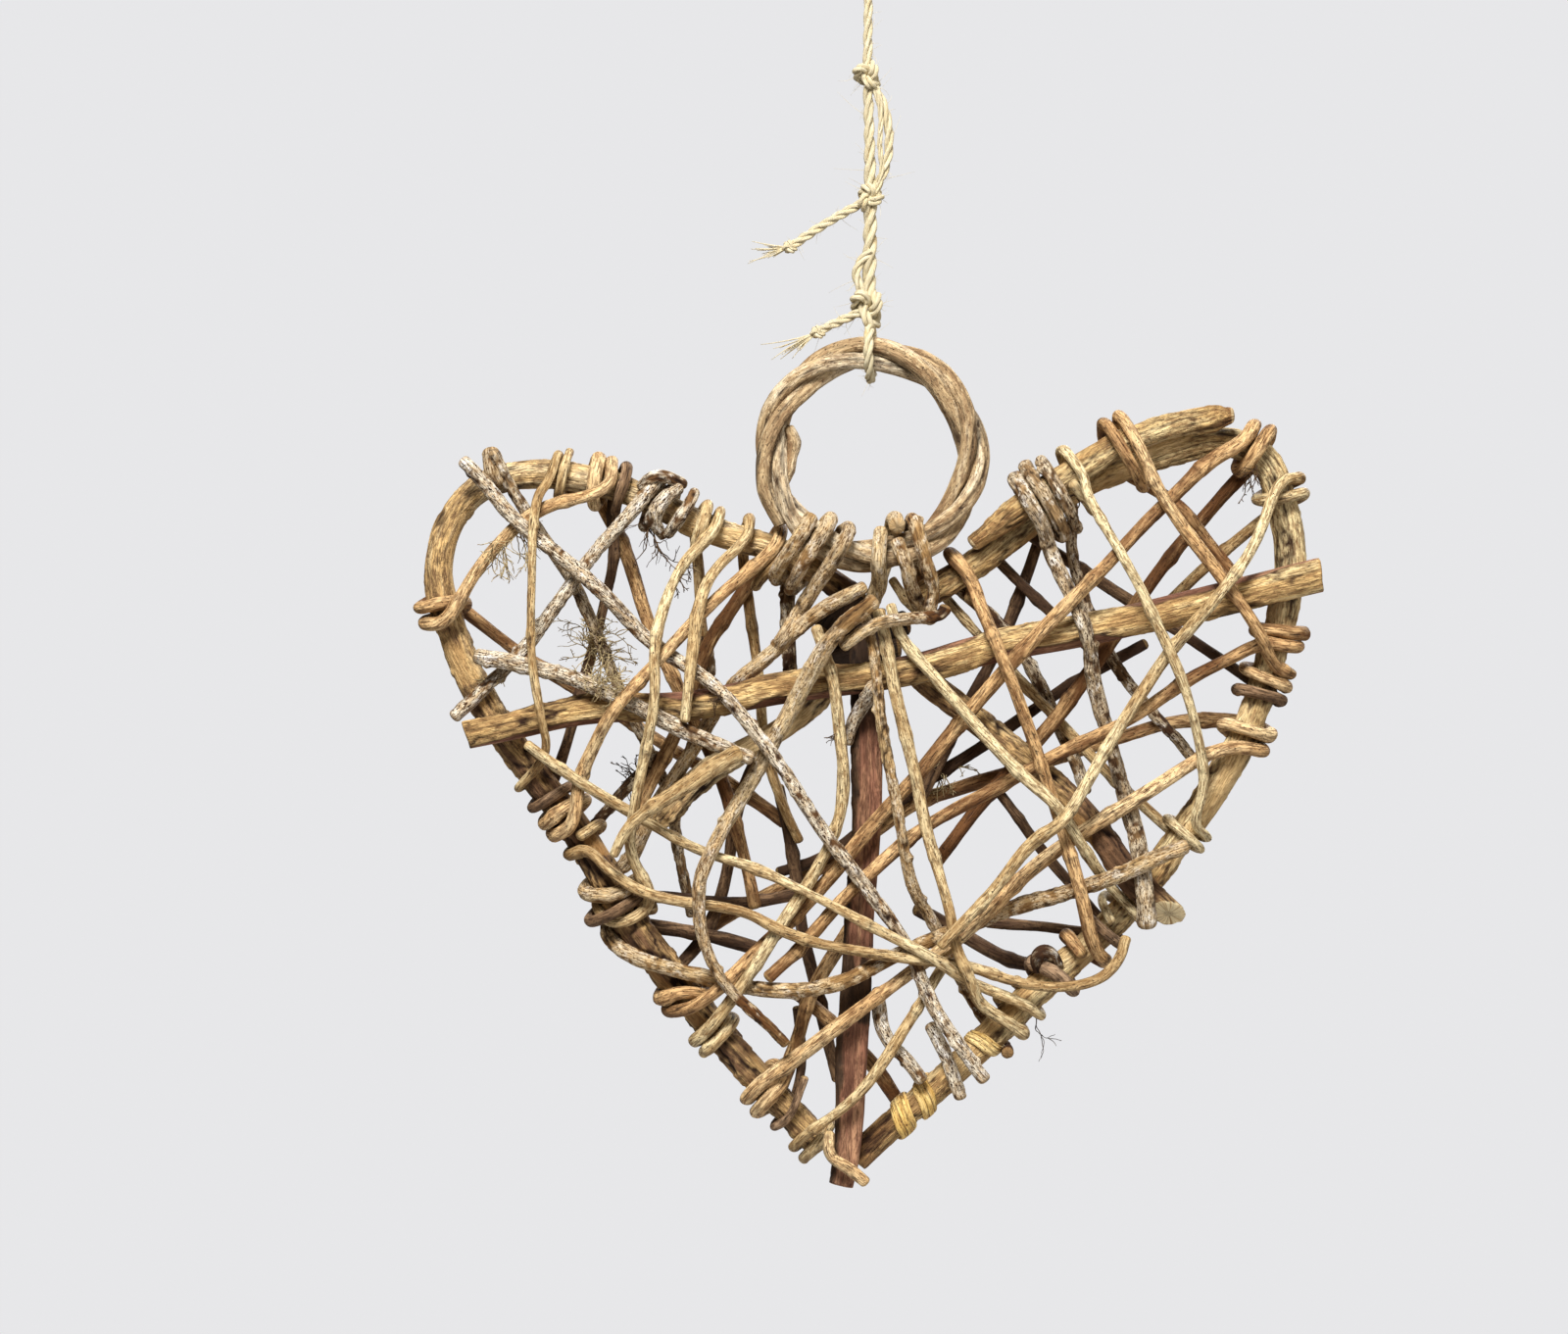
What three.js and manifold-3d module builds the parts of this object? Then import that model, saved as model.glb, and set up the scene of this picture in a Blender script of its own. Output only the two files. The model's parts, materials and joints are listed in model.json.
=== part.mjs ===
// A hanging heart woven from vines: two bent sticks make the heart, a cross stick, a stake and two
// braces stiffen it, long vines are wound back and forth over it, and a ring of twisted vine at the
// notch hangs on twine. The front faces -Y. Places in the weave are (x, z) from the ring's centre.
import * as THREE from 'three';
import Module from 'manifold-3d';
import { mergeVertices } from 'three/addons/utils/BufferGeometryUtils.js';

// Driving dimensions, in millimetres
const FRAME_RADIUS = 3.0;
const LOBE_STICK_RADIUS = 2.8;
const CROSS_HALF_HEIGHT = 3.4;
const CROSS_HALF_DEPTH = 2.8;
const STAKE_HALF_WIDTH = 3.0;
const STAKE_HALF_DEPTH = 1.9;
const BRACE_RADIUS = 2.7;
const RING_RADIUS = 20.8;
const RING_STRAND_RADIUS = 1.6;
const RING_TURNS = 3;
const RING_TWISTS = 2;
const TWINE_RADIUS = 1.3;
const TWINE_EYE_RADIUS = 3.6;
const HANG_HEIGHT = 102;
const GAP = 0.32;

// Depths of the woody parts, from the plane of the heart's frame
const LOBE_STICK_DEPTH = -5.2;
const CROSS_DEPTH = -(FRAME_RADIUS + CROSS_HALF_DEPTH + GAP);
const STRAND_ORBIT = (RING_STRAND_RADIUS * 2) / Math.sqrt(3) + 0.25;
const RING_DEPTH = -(FRAME_RADIUS + STRAND_ORBIT + RING_STRAND_RADIUS + GAP);

// Facets and steps of the tubes
const VINE_SIDES = 5;
const STICK_SIDES = 8;
const STICK_STEP = 10.5;
const RING_STEPS = 20;
const LONGEST_STEP = 30;
const WRAP_STEP = Math.PI / 3;

// The ties that hold the ring to the frame
const TIE_STEPS = 8;
const TIE_START = Math.PI / 4;
const TIE_HALF_HEIGHT = 6.6;
const TIE_HALF_DEPTH = 7.4;

// The laying of the vines: how far apart neighbouring layers start, and how they are settled
const FIRST_LAYER = 11;
const LAYER = 1.7;
const SETTLE_ROUNDS = 420;
const LAST_ROUNDS = 140;
const SIDEWAYS_GIVE = 0.12;
const WRAP_GIVE = 0.5;
const PULL = 0.22;
const PRESS = 0.012;
const HOLD = 0.04;

const bark = (name, color, roughness = 0.85) =>
  new THREE.MeshStandardMaterial({ name, color, roughness, metalness: 0 });
const GOLDEN = bark('golden_bark', 0xd2b67c);
const TAN = bark('tan_bark', 0xaf824e);
const LICHEN = bark('lichen_bark', 0xc4b9a4, 0.95);
const DARK = bark('dark_bark', 0x5c4128);
const STICK = bark('stick_bark', 0xb9945c);
const SPLIT = bark('split_wood', 0x7d503e, 0.75);
const COIL = bark('ring_bark', 0xa58c69);
const TWINE = bark('twine', 0xe1d2aa, 0.95);

// A list of flat x, z pairs as points at one depth
function places(flat, depth = 0) {
  const points = [];
  for (let i = 0; i < flat.length; i += 2) points.push(new THREE.Vector3(flat[i], depth, flat[i + 1]));
  return points;
}

// A smooth curve through the places, cut into even steps
function bend(points, step = STICK_STEP) {
  const curve = new THREE.CatmullRomCurve3(points, false, 'centripetal');
  return curve.getSpacedPoints(Math.round(curve.getLength() / step));
}

// A route with straight stretches, whose corners are where its points are
class Route extends THREE.Curve {
  constructor(points) {
    super();
    this.points = points;
  }
  getPoint(t, target = new THREE.Vector3()) {
    const along = t * (this.points.length - 1);
    const i = Math.min(Math.floor(along), this.points.length - 2);
    return target.lerpVectors(this.points[i], this.points[i + 1], along - i);
  }
  getPointAt(u, target) {
    return this.getPoint(u, target);
  }
  getTangentAt(u, target = new THREE.Vector3()) {
    const half = 0.5 / (this.points.length - 1);
    const before = this.getPoint(Math.max(0, u - half));
    return target.copy(this.getPoint(Math.min(1, u + half))).sub(before).normalize();
  }
}

// A closed section with the given number of corners and half sizes
function section(sides, across, deep = across) {
  const corners = [];
  for (let i = 0; i < sides; i++) {
    const turn = ((i + 0.5) / sides) * 2 * Math.PI;
    corners.push(new THREE.Vector2(deep * Math.cos(turn), across * Math.sin(turn)));
  }
  return new THREE.Shape(corners);
}

function tube(points, shape) {
  const options = { steps: points.length - 1, bevelEnabled: false, extrudePath: new Route(points) };
  return new THREE.ExtrudeGeometry(shape, options);
}

// The sticks of the heart, from the notch to the tip
const leftFrame = bend(places([
  -4, -28.4, -17.6, -19.4, -31.6, -16, -46.6, -8, -57.6, -4.6, -69.6, -3.2, -78, -4.6, -85.2, -11,
  -89, -23, -85.6, -36, -78.2, -52, -69.6, -64, -56.6, -81, -51.6, -92, -43.2, -103, -33.2, -116,
  -16.6, -134, -9.8, -141.5,
]));
const rightFrame = bend(places([
  8.4, -29.8, 23.4, -21, 40.4, -7.4, 50.4, -2.6, 68.4, 2.6, 76.5, 3.8, 81.6, 0, 85, -11, 86.4, -19,
  84, -35, 75.4, -60, 64.4, -77, 51.4, -94, 34.4, -109, 19.4, -124, 4.4, -137, -2.9, -144,
]));
const lobeStick = bend(places([21.2, -18, 30.4, -11, 44.4, -1.4, 58.4, 5.6, 73.4, 8], LOBE_STICK_DEPTH));
const crossStick = bend(places([
  -82, -57, -73.6, -55.4, -57.6, -51.6, -37.6, -51.2, -19.6, -47.8, 10.4, -43.4, 22.4, -39.6,
  42.4, -36, 62.4, -31.4, 91.4, -24.4,
], CROSS_DEPTH));

// The stake and the right brace lean, from behind the cross stick to the front of the frame
function lean(points, topDepth, endDepth) {
  const drop = points[0].z - points.at(-1).z;
  points.forEach((p) => (p.y = topDepth + ((points[0].z - p.z) / drop) * (endDepth - topDepth)));
  return points;
}
const stake = lean(places([
  -0.6, -37, -0.6, -75, -2, -91, -3.8, -123, -4.8, -143, -6, -148.6,
]), -0.6, -(FRAME_RADIUS + STAKE_HALF_DEPTH + 2 * GAP));
const rightBrace = lean(bend(places([
  8.8, -43.8, 19.4, -52, 32.4, -62.6, 44.4, -73.4, 52.4, -85.6, 60.4, -93,
])), 0, -(FRAME_RADIUS + BRACE_RADIUS + 3 * GAP));
const leftBrace = bend(places([-8.6, -47.8, -17.6, -56, -28.6, -61.4, -39.6, -70, -43.2, -75.4]));

// The ring: one vine coiled three times, its strands twisted round each other, its two ends not quite met
function ringPoints() {
  const steps = RING_STEPS * RING_TURNS;
  const start = -0.35;
  const covered = 0.985;
  const points = [];
  for (let i = 0; i <= steps; i++) {
    const turn = 2 * Math.PI * (RING_TURNS * covered * (i / steps) + start);
    const twist = ((RING_TWISTS + 1 / RING_TURNS) * turn) % (2 * Math.PI);
    const out = RING_RADIUS + STRAND_ORBIT * Math.cos(twist);
    points.push(new THREE.Vector3(
      out * Math.cos(turn), RING_DEPTH + STRAND_ORBIT * Math.sin(twist), out * Math.sin(turn)));
  }
  return points;
}

// What a vine is wound round: a line of places and how thick it is there. Where the lobe stick lies
// along the frame a vine winds round both, so that pair is taken before the frame alone
const PAIR_RADIUS = 5.6;
const PAIR_LEAD = 4;
const pairShift = new THREE.Vector3(0.6, -LOBE_STICK_DEPTH / 2, -2);
const CORES = [
  { line: leftFrame, radius: FRAME_RADIUS, lead: 0 },
  { line: rightFrame, radius: FRAME_RADIUS, lead: 0 },
  { line: lobeStick.map((p) => p.clone().add(pairShift)), radius: PAIR_RADIUS, lead: PAIR_LEAD },
];

// The core place nearest to a point, with the directions along the core and away from the weave
function nearestCore(x, z) {
  const tries = 200;
  const middle = new THREE.Vector3(0, 0, -60);
  let best = { away: Infinity };
  for (const core of CORES) {
    const curve = new Route(core.line);
    for (let i = 0; i <= tries; i++) {
      const at = curve.getPoint(i / tries);
      const away = Math.hypot(at.x - x, at.z - z) - core.lead;
      if (away >= best.away) continue;
      const along = curve.getTangentAt(i / tries).setY(0).normalize();
      const out = new THREE.Vector3(along.z, 0, -along.x);
      if (out.dot(at.clone().sub(middle)) < 0) out.negate();
      best = { away, at, along, out, radius: core.radius };
    }
  }
  return best;
}

// The legs of a vine's route: runs over the front or the back of the heart, and turns round its edge
const front = (layer, ...flat) => ({ side: -1, layer, flat });
const back = (layer, ...flat) => ({ side: 1, layer, flat });
const wrap = (x, z, turns, drift = 1) => ({ x, z, turns, drift });

// A run starts well clear of the frame, in its own layer, and is pulled tight afterwards
function runPoints(leg, radius) {
  const rough = places(leg.flat, leg.side * (FIRST_LAYER + radius + LAYER * leg.layer));
  const points = [rough[0]];
  for (let i = 1; i < rough.length; i++) {
    const parts = Math.ceil(rough[i].distanceTo(rough[i - 1]) / LONGEST_STEP);
    for (let k = 1; k <= parts; k++) points.push(rough[i - 1].clone().lerp(rough[i], k / parts));
  }
  const rest = leg.side * (FRAME_RADIUS + radius);
  return points.map((at) => ({ at, route: at.clone(), sideways: SIDEWAYS_GIVE, rest }));
}

// Turns round the edge, from the front over the outer side to the back or the other way
function wrapPoints(leg, radius, before, after) {
  const core = nearestCore(leg.x, leg.z);
  const orbit = (core.radius + radius + GAP) / Math.cos(WRAP_STEP / 2);
  const frontAngle = Math.PI / 2;
  const backAngle = 1.5 * Math.PI;
  let start = before?.side === 1 ? backAngle : frontAngle;
  let direction = before?.side === 1 ? -1 : 1;
  if (!before) {
    direction = after.side === 1 ? 1 : -1;
    start = (after.side === 1 ? backAngle : frontAngle) - direction * leg.turns * 2 * Math.PI;
  }
  const steps = Math.round((leg.turns * 2 * Math.PI) / WRAP_STEP);
  const pitch = (2 * radius + 2 * GAP) * leg.drift;
  const points = [];
  for (let i = 0; i <= steps; i++) {
    const angle = start + direction * i * WRAP_STEP;
    const along = pitch * ((i / steps) * leg.turns - leg.turns / 2);
    const at = core.at.clone().addScaledVector(core.along, along);
    at.addScaledVector(core.out, -orbit * Math.cos(angle));
    at.y -= orbit * Math.sin(angle);
    points.push({ at, sideways: WRAP_GIVE, rest: null });
  }
  return points;
}

// A vine as a strand that can still be pushed aside: its points, its thickness and its material
function vine(name, thickness, material, ...legs) {
  const radius = thickness / 2;
  const points = legs.flatMap((leg, i) =>
    leg.flat ? runPoints(leg, radius) : wrapPoints(leg, radius, legs[i - 1], legs[i + 1]));
  return { name, radius, material, points };
}

// A tie: turns round the ring and the frame behind it, then a free tail in front
function tie(name, thickness, x, z, slant, turns, ...tail) {
  const radius = thickness / 2;
  const across = new THREE.Vector3(Math.sin(slant), 0, Math.cos(slant));
  const along = new THREE.Vector3(across.z, 0, -across.x);
  const steps = Math.round(turns * TIE_STEPS);
  const points = [];
  for (let i = 0; i <= steps; i++) {
    const turn = i / TIE_STEPS;
    const angle = TIE_START - turn * 2 * Math.PI;
    const at = new THREE.Vector3(x, RING_DEPTH / 2, z);
    at.addScaledVector(across, (TIE_HALF_HEIGHT + radius) * Math.sin(angle));
    at.addScaledVector(along, (2 * radius + 2 * GAP) * (turn - turns / 2));
    at.y -= (TIE_HALF_DEPTH + radius) * Math.cos(angle);
    points.push({ at, sideways: WRAP_GIVE, rest: null });
  }
  const rest = -(FRAME_RADIUS + radius);
  places(tail, -FIRST_LAYER).forEach((at) =>
    points.push({ at, route: at.clone(), sideways: SIDEWAYS_GIVE, rest }));
  return { name, radius, material: LICHEN, points };
}

const VINES = [
  vine('front_vine_01', 1.8, GOLDEN, wrap(-63.6, -4, 1.25),
    front(4, -68, -8.6, -69.6, -17, -68.8, -43, -67, -53, -65.8, -60), wrap(-70, -66.5, 0.75)),
  vine('front_vine_02', 2.0, GOLDEN,
    front(3, -69.5, -58.8, -60.6, -65.4, -49.6, -72.6, -34.6, -80.6, -23.6, -84, -11.6, -89.4,
      0.4, -96, 13.4, -102.6, 20, -106), wrap(34.8, -112.5, 0.75, -1)),
  vine('front_vine_03', 2.2, GOLDEN, wrap(-58.5, -79, 1),
    front(3, -52.6, -85.6, -44, -90.4, -26.6, -92, -18.6, -96.6, -9.6, -99.8, 8.4, -100.6, 19.4, -103.6,
      28.4, -107, 37.4, -108.4, 46, -107, 50.4, -103, 52, -98.5)),
  vine('front_vine_04', 2.2, GOLDEN, wrap(-53.4, -93, 0.75),
    front(4, -49.6, -81.4, -48, -73, -45.6, -59, -43.8, -49.4, -44, -38, -39.6, -23),
    wrap(-33.5, -14.5, 1.5), back(2, -35, -26, -34.4, -41, -33.6, -50)),
  vine('front_vine_05', 2.2, GOLDEN,
    front(4, -37.8, -54, -36, -39, -34.4, -29, -31.6, -23), wrap(-26.2, -17.5, 0.5),
    back(1, -24.8, -30, -23, -41.4, -21.6, -62, -17.6, -72, -14.6, -78.6)),
  vine('front_vine_06', 2.6, TAN, wrap(-62.5, -73.2, 1.5),
    front(3.4, -59.2, -66.4, -56.6, -60, -51.6, -52, -37.6, -36, -28.6, -26.4),
    wrap(-20, -18.6, 0.5), back(0, -27, -29.4, -33, -37, -39.6, -56, -47.6, -73)),
  vine('front_vine_07', 2.6, TAN, back(2, -17.6, -75, -30.2, -66.2, -57.6, -49.4, -71.6, -40.6),
    wrap(-87, -31, 1.5), front(3.4, -79.6, -22, -68.6, -10), wrap(-55.5, -5, 1.5),
    back(0, -49.6, -20, -45, -36, -30.8, -64, -26.6, -78, -23.6, -92)),
  vine('front_vine_08', 2.8, TAN, wrap(-38.4, -109.6, 1.5),
    front(2, -30.6, -109, -22, -101, -8.6, -86.4, -0.6, -77, 9.4, -65.6, 19.4, -53, 30.4, -40, 48, -23.4,
      58.6, -10.8, 68.4, -1.2), wrap(79.2, 2.6, 1.5),
    back(0, 71.4, -9, 60.4, -22, 40, -51, 22.4, -72, 13.8, -83)),
  vine('front_vine_09', 2.5, TAN, back(0, 78.4, -29.2, 63.4, -9), wrap(52.6, 0, 1.5),
    front(3, 59.4, -10.4, 69.4, -23, 78.8, -36), wrap(82.4, -45.4, 1.25)),
  vine('front_vine_10', 2.0, GOLDEN, wrap(42, -5, 1),
    front(5.5, 43.6, -9, 52, -23, 58.4, -36, 63, -46, 66, -56, 68.2, -67), wrap(65.2, -76.5, 1.5),
    back(1, 55.4, -71, 46.4, -62.6, 23, -37, 14.8, -28)),
  vine('front_vine_11', 2.4, GOLDEN,
    front(5, 14.4, -99.4, 25.4, -88, 32.4, -78.2, 38.4, -74, 48.4, -58.4, 60.4, -41, 71.4, -27, 78.4, -18),
    wrap(84, -7.5, 1.5), back(2, 72.4, -19.4, 62, -29.4, 57.6, -33.8)),
  vine('front_vine_12', 2.8, TAN, back(3, -36, -98.6, -23.6, -91, -11.6, -85.6, 9.4, -71, 28.4, -65,
      50.4, -58.2, 63.4, -54), wrap(76.6, -57, 1.5),
    front(2, 70.4, -60, 55.4, -69.4, 30.4, -86, 22.4, -94.4, 8.4, -104, -5.6, -115, -15, -122.6),
    wrap(-21, -129.5, 1.5), back(0, -12, -109.6, -3.6, -96)),
  vine('front_vine_13', 2.2, GOLDEN, front(3, 14.6, -103.6, 9.4, -113, 1.4, -125, -4.6, -132),
    wrap(-12, -139.4, 1.5)),
  vine('front_vine_14', 2.3, GOLDEN,
    front(5, 1.8, -32, 3.4, -39.4, 4.8, -47, 8.8, -63, 11, -75, 14, -85, 16.8, -94, 17, -100,
      19.4, -108, 22, -111.6), wrap(28.6, -114.6, 0.75, -1)),
  vine('front_vine_15', 2.7, GOLDEN,
    front(4, 3.6, -31, 6, -37.4, 20.4, -54, 30.4, -64.6, 38.4, -71, 43.4, -80), wrap(52.6, -92.4, 1)),
  vine('front_vine_16', 2.6, TAN, wrap(18.6, -24, 0.75),
    front(3, 22.4, -31, 26, -39, 30, -48, 39.4, -75, 43, -88), wrap(44.4, -101, 1)),
  vine('front_vine_17', 2.6, TAN, wrap(84.4, -36.6, 1.25),
    front(2.2, 73, -41.6, 62.4, -47, 52.4, -54, 40.4, -59.6, 19.4, -71, 5.4, -80, -5.6, -90.4,
      -13.6, -99.4, -20.6, -106.4)),
  vine('front_vine_18', 2.4, GOLDEN,
    front(2, -11.2, -35.4, -8, -45, -5.2, -65, -6.6, -76, -12.6, -87, -19.6, -98, -25.2, -106),
    wrap(-31.6, -117.8, 1.5)),
  vine('front_vine_19', 3.2, GOLDEN, front(4, -19.6, -56, -34.6, -65, -45.6, -72, -49.8, -75.6, -52, -81)),
  vine('grey_vine_01', 3.4, LICHEN, back(0, -44.6, -92.4, -53, -95),
    front(1, -53.6, -98.8, -48.4, -102, -38.8, -104.6, -29.6, -107.6, -17.6, -109, -7.6, -107.8, 11.4, -100.6,
      34.4, -90.6, 44.4, -87.8, 58, -82.8, 63.4, -79.6)),
  vine('grey_vine_02', 3.2, LICHEN, front(6, 15.4, -29.4, 14.4, -33, 8.4, -33.6, 1.4, -34.4, -6, -38)),
  vine('grey_vine_03', 3.6, LICHEN, front(3, 0.4, -30, -7.6, -37.6, -17.6, -52, -27.6, -71, -34, -83,
    -35.2, -89, -34.6, -99, -30, -107.4, -17.4, -119.4)),
  vine('lichen_vine_01', 2.8, LICHEN, wrap(-43.5, -9.4, 1.5),
    front(1, -53.2, -16, -57.6, -21.4, -68.6, -37, -75.6, -45, -84, -54)),
  vine('lichen_vine_02', 2.8, LICHEN, front(3, -82.6, -1.4, -69.6, -14.6, -55.6, -27, -44.6, -38,
    -30.6, -47.6, -23.6, -55, -17.6, -64, -8.6, -78, 0.4, -90, 8, -102, 12.4, -113, 23, -126.6)),
  vine('lichen_vine_03', 2.4, LICHEN, front(0, -76.8, 0.6, -71.6, -10, -61.6, -23.4, -57.6, -33),
    back(3, -50.8, -49.4, -40.4, -71, -39.6, -79, -36.6, -94)),
  vine('lichen_vine_04', 3.2, LICHEN,
    front(2, -79.6, -40.8, -57.6, -46.4, -49.6, -51.4, -37.6, -56, -23.6, -62)),
  vine('lichen_vine_05', 2.8, LICHEN, wrap(34.4, -9.6, 1.25, -1),
    front(1, 36, -19, 42, -36, 45.4, -46, 51, -66, 53.8, -79, 54.2, -87, 56, -95)),
  vine('lichen_vine_06', 2.4, LICHEN, wrap(38.4, -6.8, 0.75), back(1, 40.8, -18, 45, -31, 48.4, -40,
    55.4, -50, 66.8, -62.2)),
  vine('lichen_vine_07', 2.8, LICHEN, back(2, 17.4, -26, 27.4, -35, 32.8, -42.6, 41.4, -60, 44.4, -68.6)),
  vine('lichen_vine_08', 2.8, LICHEN, front(1, -1, -109, 2.4, -118, 8.4, -124), wrap(11, -131, 0.5)),
  vine('lichen_vine_09', 3.0, LICHEN, front(1, -1.6, -27, -10.6, -31.4, -21.6, -41), back(0, -29.6, -48,
    -34.6, -57.4, -44.6, -73, -49.4, -84), wrap(-53, -89.5, 1)),
  vine('lichen_vine_10', 2.6, LICHEN,
    front(2, -0.6, -33, 0.8, -40, 1.8, -53, 6, -77, 8.4, -88, 13.4, -96),
    back(0, 19, -108), wrap(25.2, -119, 0.25)),
  vine('lichen_vine_11', 2.6, LICHEN, front(1, 12.4, -116.4, 15.4, -122, 18.4, -130.6)),
  vine('back_vine_01', 2.2, DARK, wrap(-51.4, -6.4, 0.75), back(1, -52.2, -21, -58.6, -45, -61.6, -56.6),
    wrap(-65, -69.8, 0.75)),
  vine('back_vine_02', 2.4, DARK, back(2, -23.6, -62.6, -28, -73, -29.2, -87, -33.6, -98.5, -39.4, -105)),
  vine('back_vine_03', 2.4, DARK, back(2, -18.8, -68, -15.2, -85, -14.6, -95, -9, -117, -6.6, -128)),
  vine('back_vine_04', 1.8, DARK, back(0, -14.6, -113, -13.4, -124), wrap(-16.4, -134.4, 0.5),
    front(0, -13.4, -127)),
  vine('back_vine_05', 2.8, DARK, back(0, -45.6, -96.4, -33.6, -98, -23.8, -100.8)),
  vine('back_vine_06', 2.4, DARK, wrap(-50.6, -92.8, 0.75), back(1, -33.6, -91.4, -25.6, -92, -11.6, -89)),
  vine('back_vine_07', 2.4, DARK,
    back(3, 56.8, -38.4, 39.4, -48, 22.4, -60, 8.4, -69, -8, -82.4, -18.6, -85.4)),
  vine('back_vine_08', 2.4, DARK, back(2, 31.6, -15, 40.4, -21, 64.4, -36), wrap(80.6, -48.4, 0.75)),
  vine('back_vine_09', 2.4, DARK, back(0, 24.8, -19.4, 31, -26, 46, -39.4)),
  vine('back_vine_10', 2.4, DARK, back(3, 35.4, -16, 28.4, -35, 20.4, -51, 14, -63, 10, -71)),
  vine('back_vine_11', 2.8, TAN, back(0, -15.2, -110.6, -1.6, -122), wrap(6.2, -135, 0.5)),
  vine('back_vine_12', 2.0, DARK, back(2, 26.4, -68.6, 33.4, -78, 40.4, -87), wrap(48, -97.6, 0.75)),
  vine('back_vine_13', 3.0, DARK, back(1, 10, -93, 19.4, -98.4, 30, -104.4), wrap(37, -106.8, 1)),
  vine('back_vine_14', 2.2, DARK, back(0, 24.4, -95.6, 43.4, -97.6)),
  tie('ring_tie_left', 3.4, -12.8, -20, 0.62, 2, -15.2, -32, -17.6, -38.4),
  tie('ring_tie_middle', 3.2, 2.6, -22, 0.33, 1),
  tie('ring_tie_right', 3.2, 9, -22.4, -0.35, 1.25, 12, -31.4),
  vine('tip_tie', 2.2, TAN, front(4, -8.4, -138, -8.6, -142.4, -4.6, -144.6, -1.2, -147.6)),
];

// The closest places of two stretches, as shares of each stretch
function closest(p, q, r, s) {
  const u = q.clone().sub(p);
  const v = s.clone().sub(r);
  const w = p.clone().sub(r);
  const uu = u.dot(u);
  const uv = u.dot(v);
  const vv = v.dot(v);
  const uw = u.dot(w);
  const vw = v.dot(w);
  const size = uu * vv - uv * uv;
  const clamp = (value) => Math.min(1, Math.max(0, value));
  let first = size > 1e-9 ? clamp((uv * vw - vv * uw) / size) : 0.5;
  const second = clamp((uv * first + vw) / vv);
  first = clamp((uv * second - uw) / uu);
  return [first, second];
}

// Push two stretches apart until they keep their clearance; depth gives way before the route does
function part(a, b) {
  const ends = [a.from, a.to, b.from, b.to];
  const [first, second] = closest(...ends.map((end) => end.at));
  const away = a.from.at.clone().lerp(a.to.at, first).sub(b.from.at.clone().lerp(b.to.at, second));
  const distance = Math.max(away.length(), 1e-6);
  const lack = a.radius + b.radius + GAP - distance;
  if (lack <= 0) return;
  away.divideScalar(distance);
  const shares = [1 - first, first, second - 1, -second];
  const inPlane = away.x * away.x + away.z * away.z;
  const ease = (end) => (end.fixed ? 0 : end.sideways * inPlane + away.y * away.y);
  const total = ends.reduce((sum, end, i) => sum + shares[i] * shares[i] * ease(end), 0);
  if (total < 1e-9) return;
  ends.forEach((end, i) => {
    if (end.fixed) return;
    const move = (shares[i] * lack) / total;
    end.at.x += move * away.x * end.sideways;
    end.at.y += move * away.y;
    end.at.z += move * away.z * end.sideways;
  });
}

// Draw a run straight between its neighbours, back to its route and towards the frame
function tighten(points) {
  points.forEach((point, i) => {
    if (point.rest === null) return;
    const before = points[i - 1] ?? points[i + 1];
    const after = points[i + 1] ?? points[i - 1];
    const nearer = before.at.distanceTo(point.at);
    const share = nearer / (nearer + after.at.distanceTo(point.at));
    const straight = before.at.y + share * (after.at.y - before.at.y);
    point.at.y += PULL * (straight - point.at.y) + PRESS * (point.rest - point.at.y);
    point.at.x += HOLD * (point.route.x - point.at.x);
    point.at.z += HOLD * (point.route.z - point.at.z);
  });
}

// Pairs of stretches that are near each other, leaving out neighbours on the same vine
function nearPairs(stretches) {
  const reach = 5;
  const neighbours = 4;
  const boxes = stretches.map((stretch) =>
    new THREE.Box3().setFromPoints([stretch.from.at, stretch.to.at]).expandByScalar(reach));
  const pairs = [];
  for (let i = 0; i < stretches.length; i++) {
    for (let j = i + 1; j < stretches.length; j++) {
      const [a, b] = [stretches[i], stretches[j]];
      if (a.from.fixed && b.from.fixed) continue;
      if (a.owner === b.owner && Math.abs(a.order - b.order) < neighbours) continue;
      if (boxes[i].intersectsBox(boxes[j])) pairs.push([a, b]);
    }
  }
  return pairs;
}

// Pull the vines tight over the sticks, then only push them apart
function settle(vines, woods) {
  const refresh = 20;
  const fixed = woods.map(({ points, radius }) => ({
    radius, points: points.map((at) => ({ at, fixed: true, sideways: 0 })) }));
  const stretches = [...fixed, ...vines].flatMap((owner) => owner.points.slice(1).map((to, order) => ({
    owner, order, from: owner.points[order], to, radius: owner.radius })));
  let pairs = [];
  for (let round = 0; round < SETTLE_ROUNDS; round++) {
    if (round % refresh === 0) pairs = nearPairs(stretches);
    if (round < SETTLE_ROUNDS - LAST_ROUNDS) vines.forEach((owner) => tighten(owner.points));
    pairs.forEach(([a, b]) => part(a, b));
  }
}

const heart = new THREE.Group();
heart.position.set(0, -RING_DEPTH, -HANG_HEIGHT);

function addPiece(name, geometry, material) {
  const mesh = new THREE.Mesh(geometry, material);
  mesh.name = name;
  heart.add(mesh);
}

const ring = ringPoints();
addPiece('frame_left', tube(leftFrame, section(STICK_SIDES, FRAME_RADIUS)), STICK);
addPiece('frame_right', tube(rightFrame, section(STICK_SIDES, FRAME_RADIUS)), STICK);
addPiece('lobe_stick', tube(lobeStick, section(STICK_SIDES, LOBE_STICK_RADIUS)), STICK);
addPiece('cross_stick', tube(crossStick, section(STICK_SIDES, CROSS_HALF_HEIGHT, CROSS_HALF_DEPTH)), STICK);
addPiece('stake', tube(stake, section(STICK_SIDES, STAKE_HALF_DEPTH, STAKE_HALF_WIDTH)), SPLIT);
addPiece('brace_right', tube(rightBrace, section(STICK_SIDES, BRACE_RADIUS)), STICK);
addPiece('brace_left', tube(leftBrace, section(STICK_SIDES, BRACE_RADIUS)), STICK);
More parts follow.
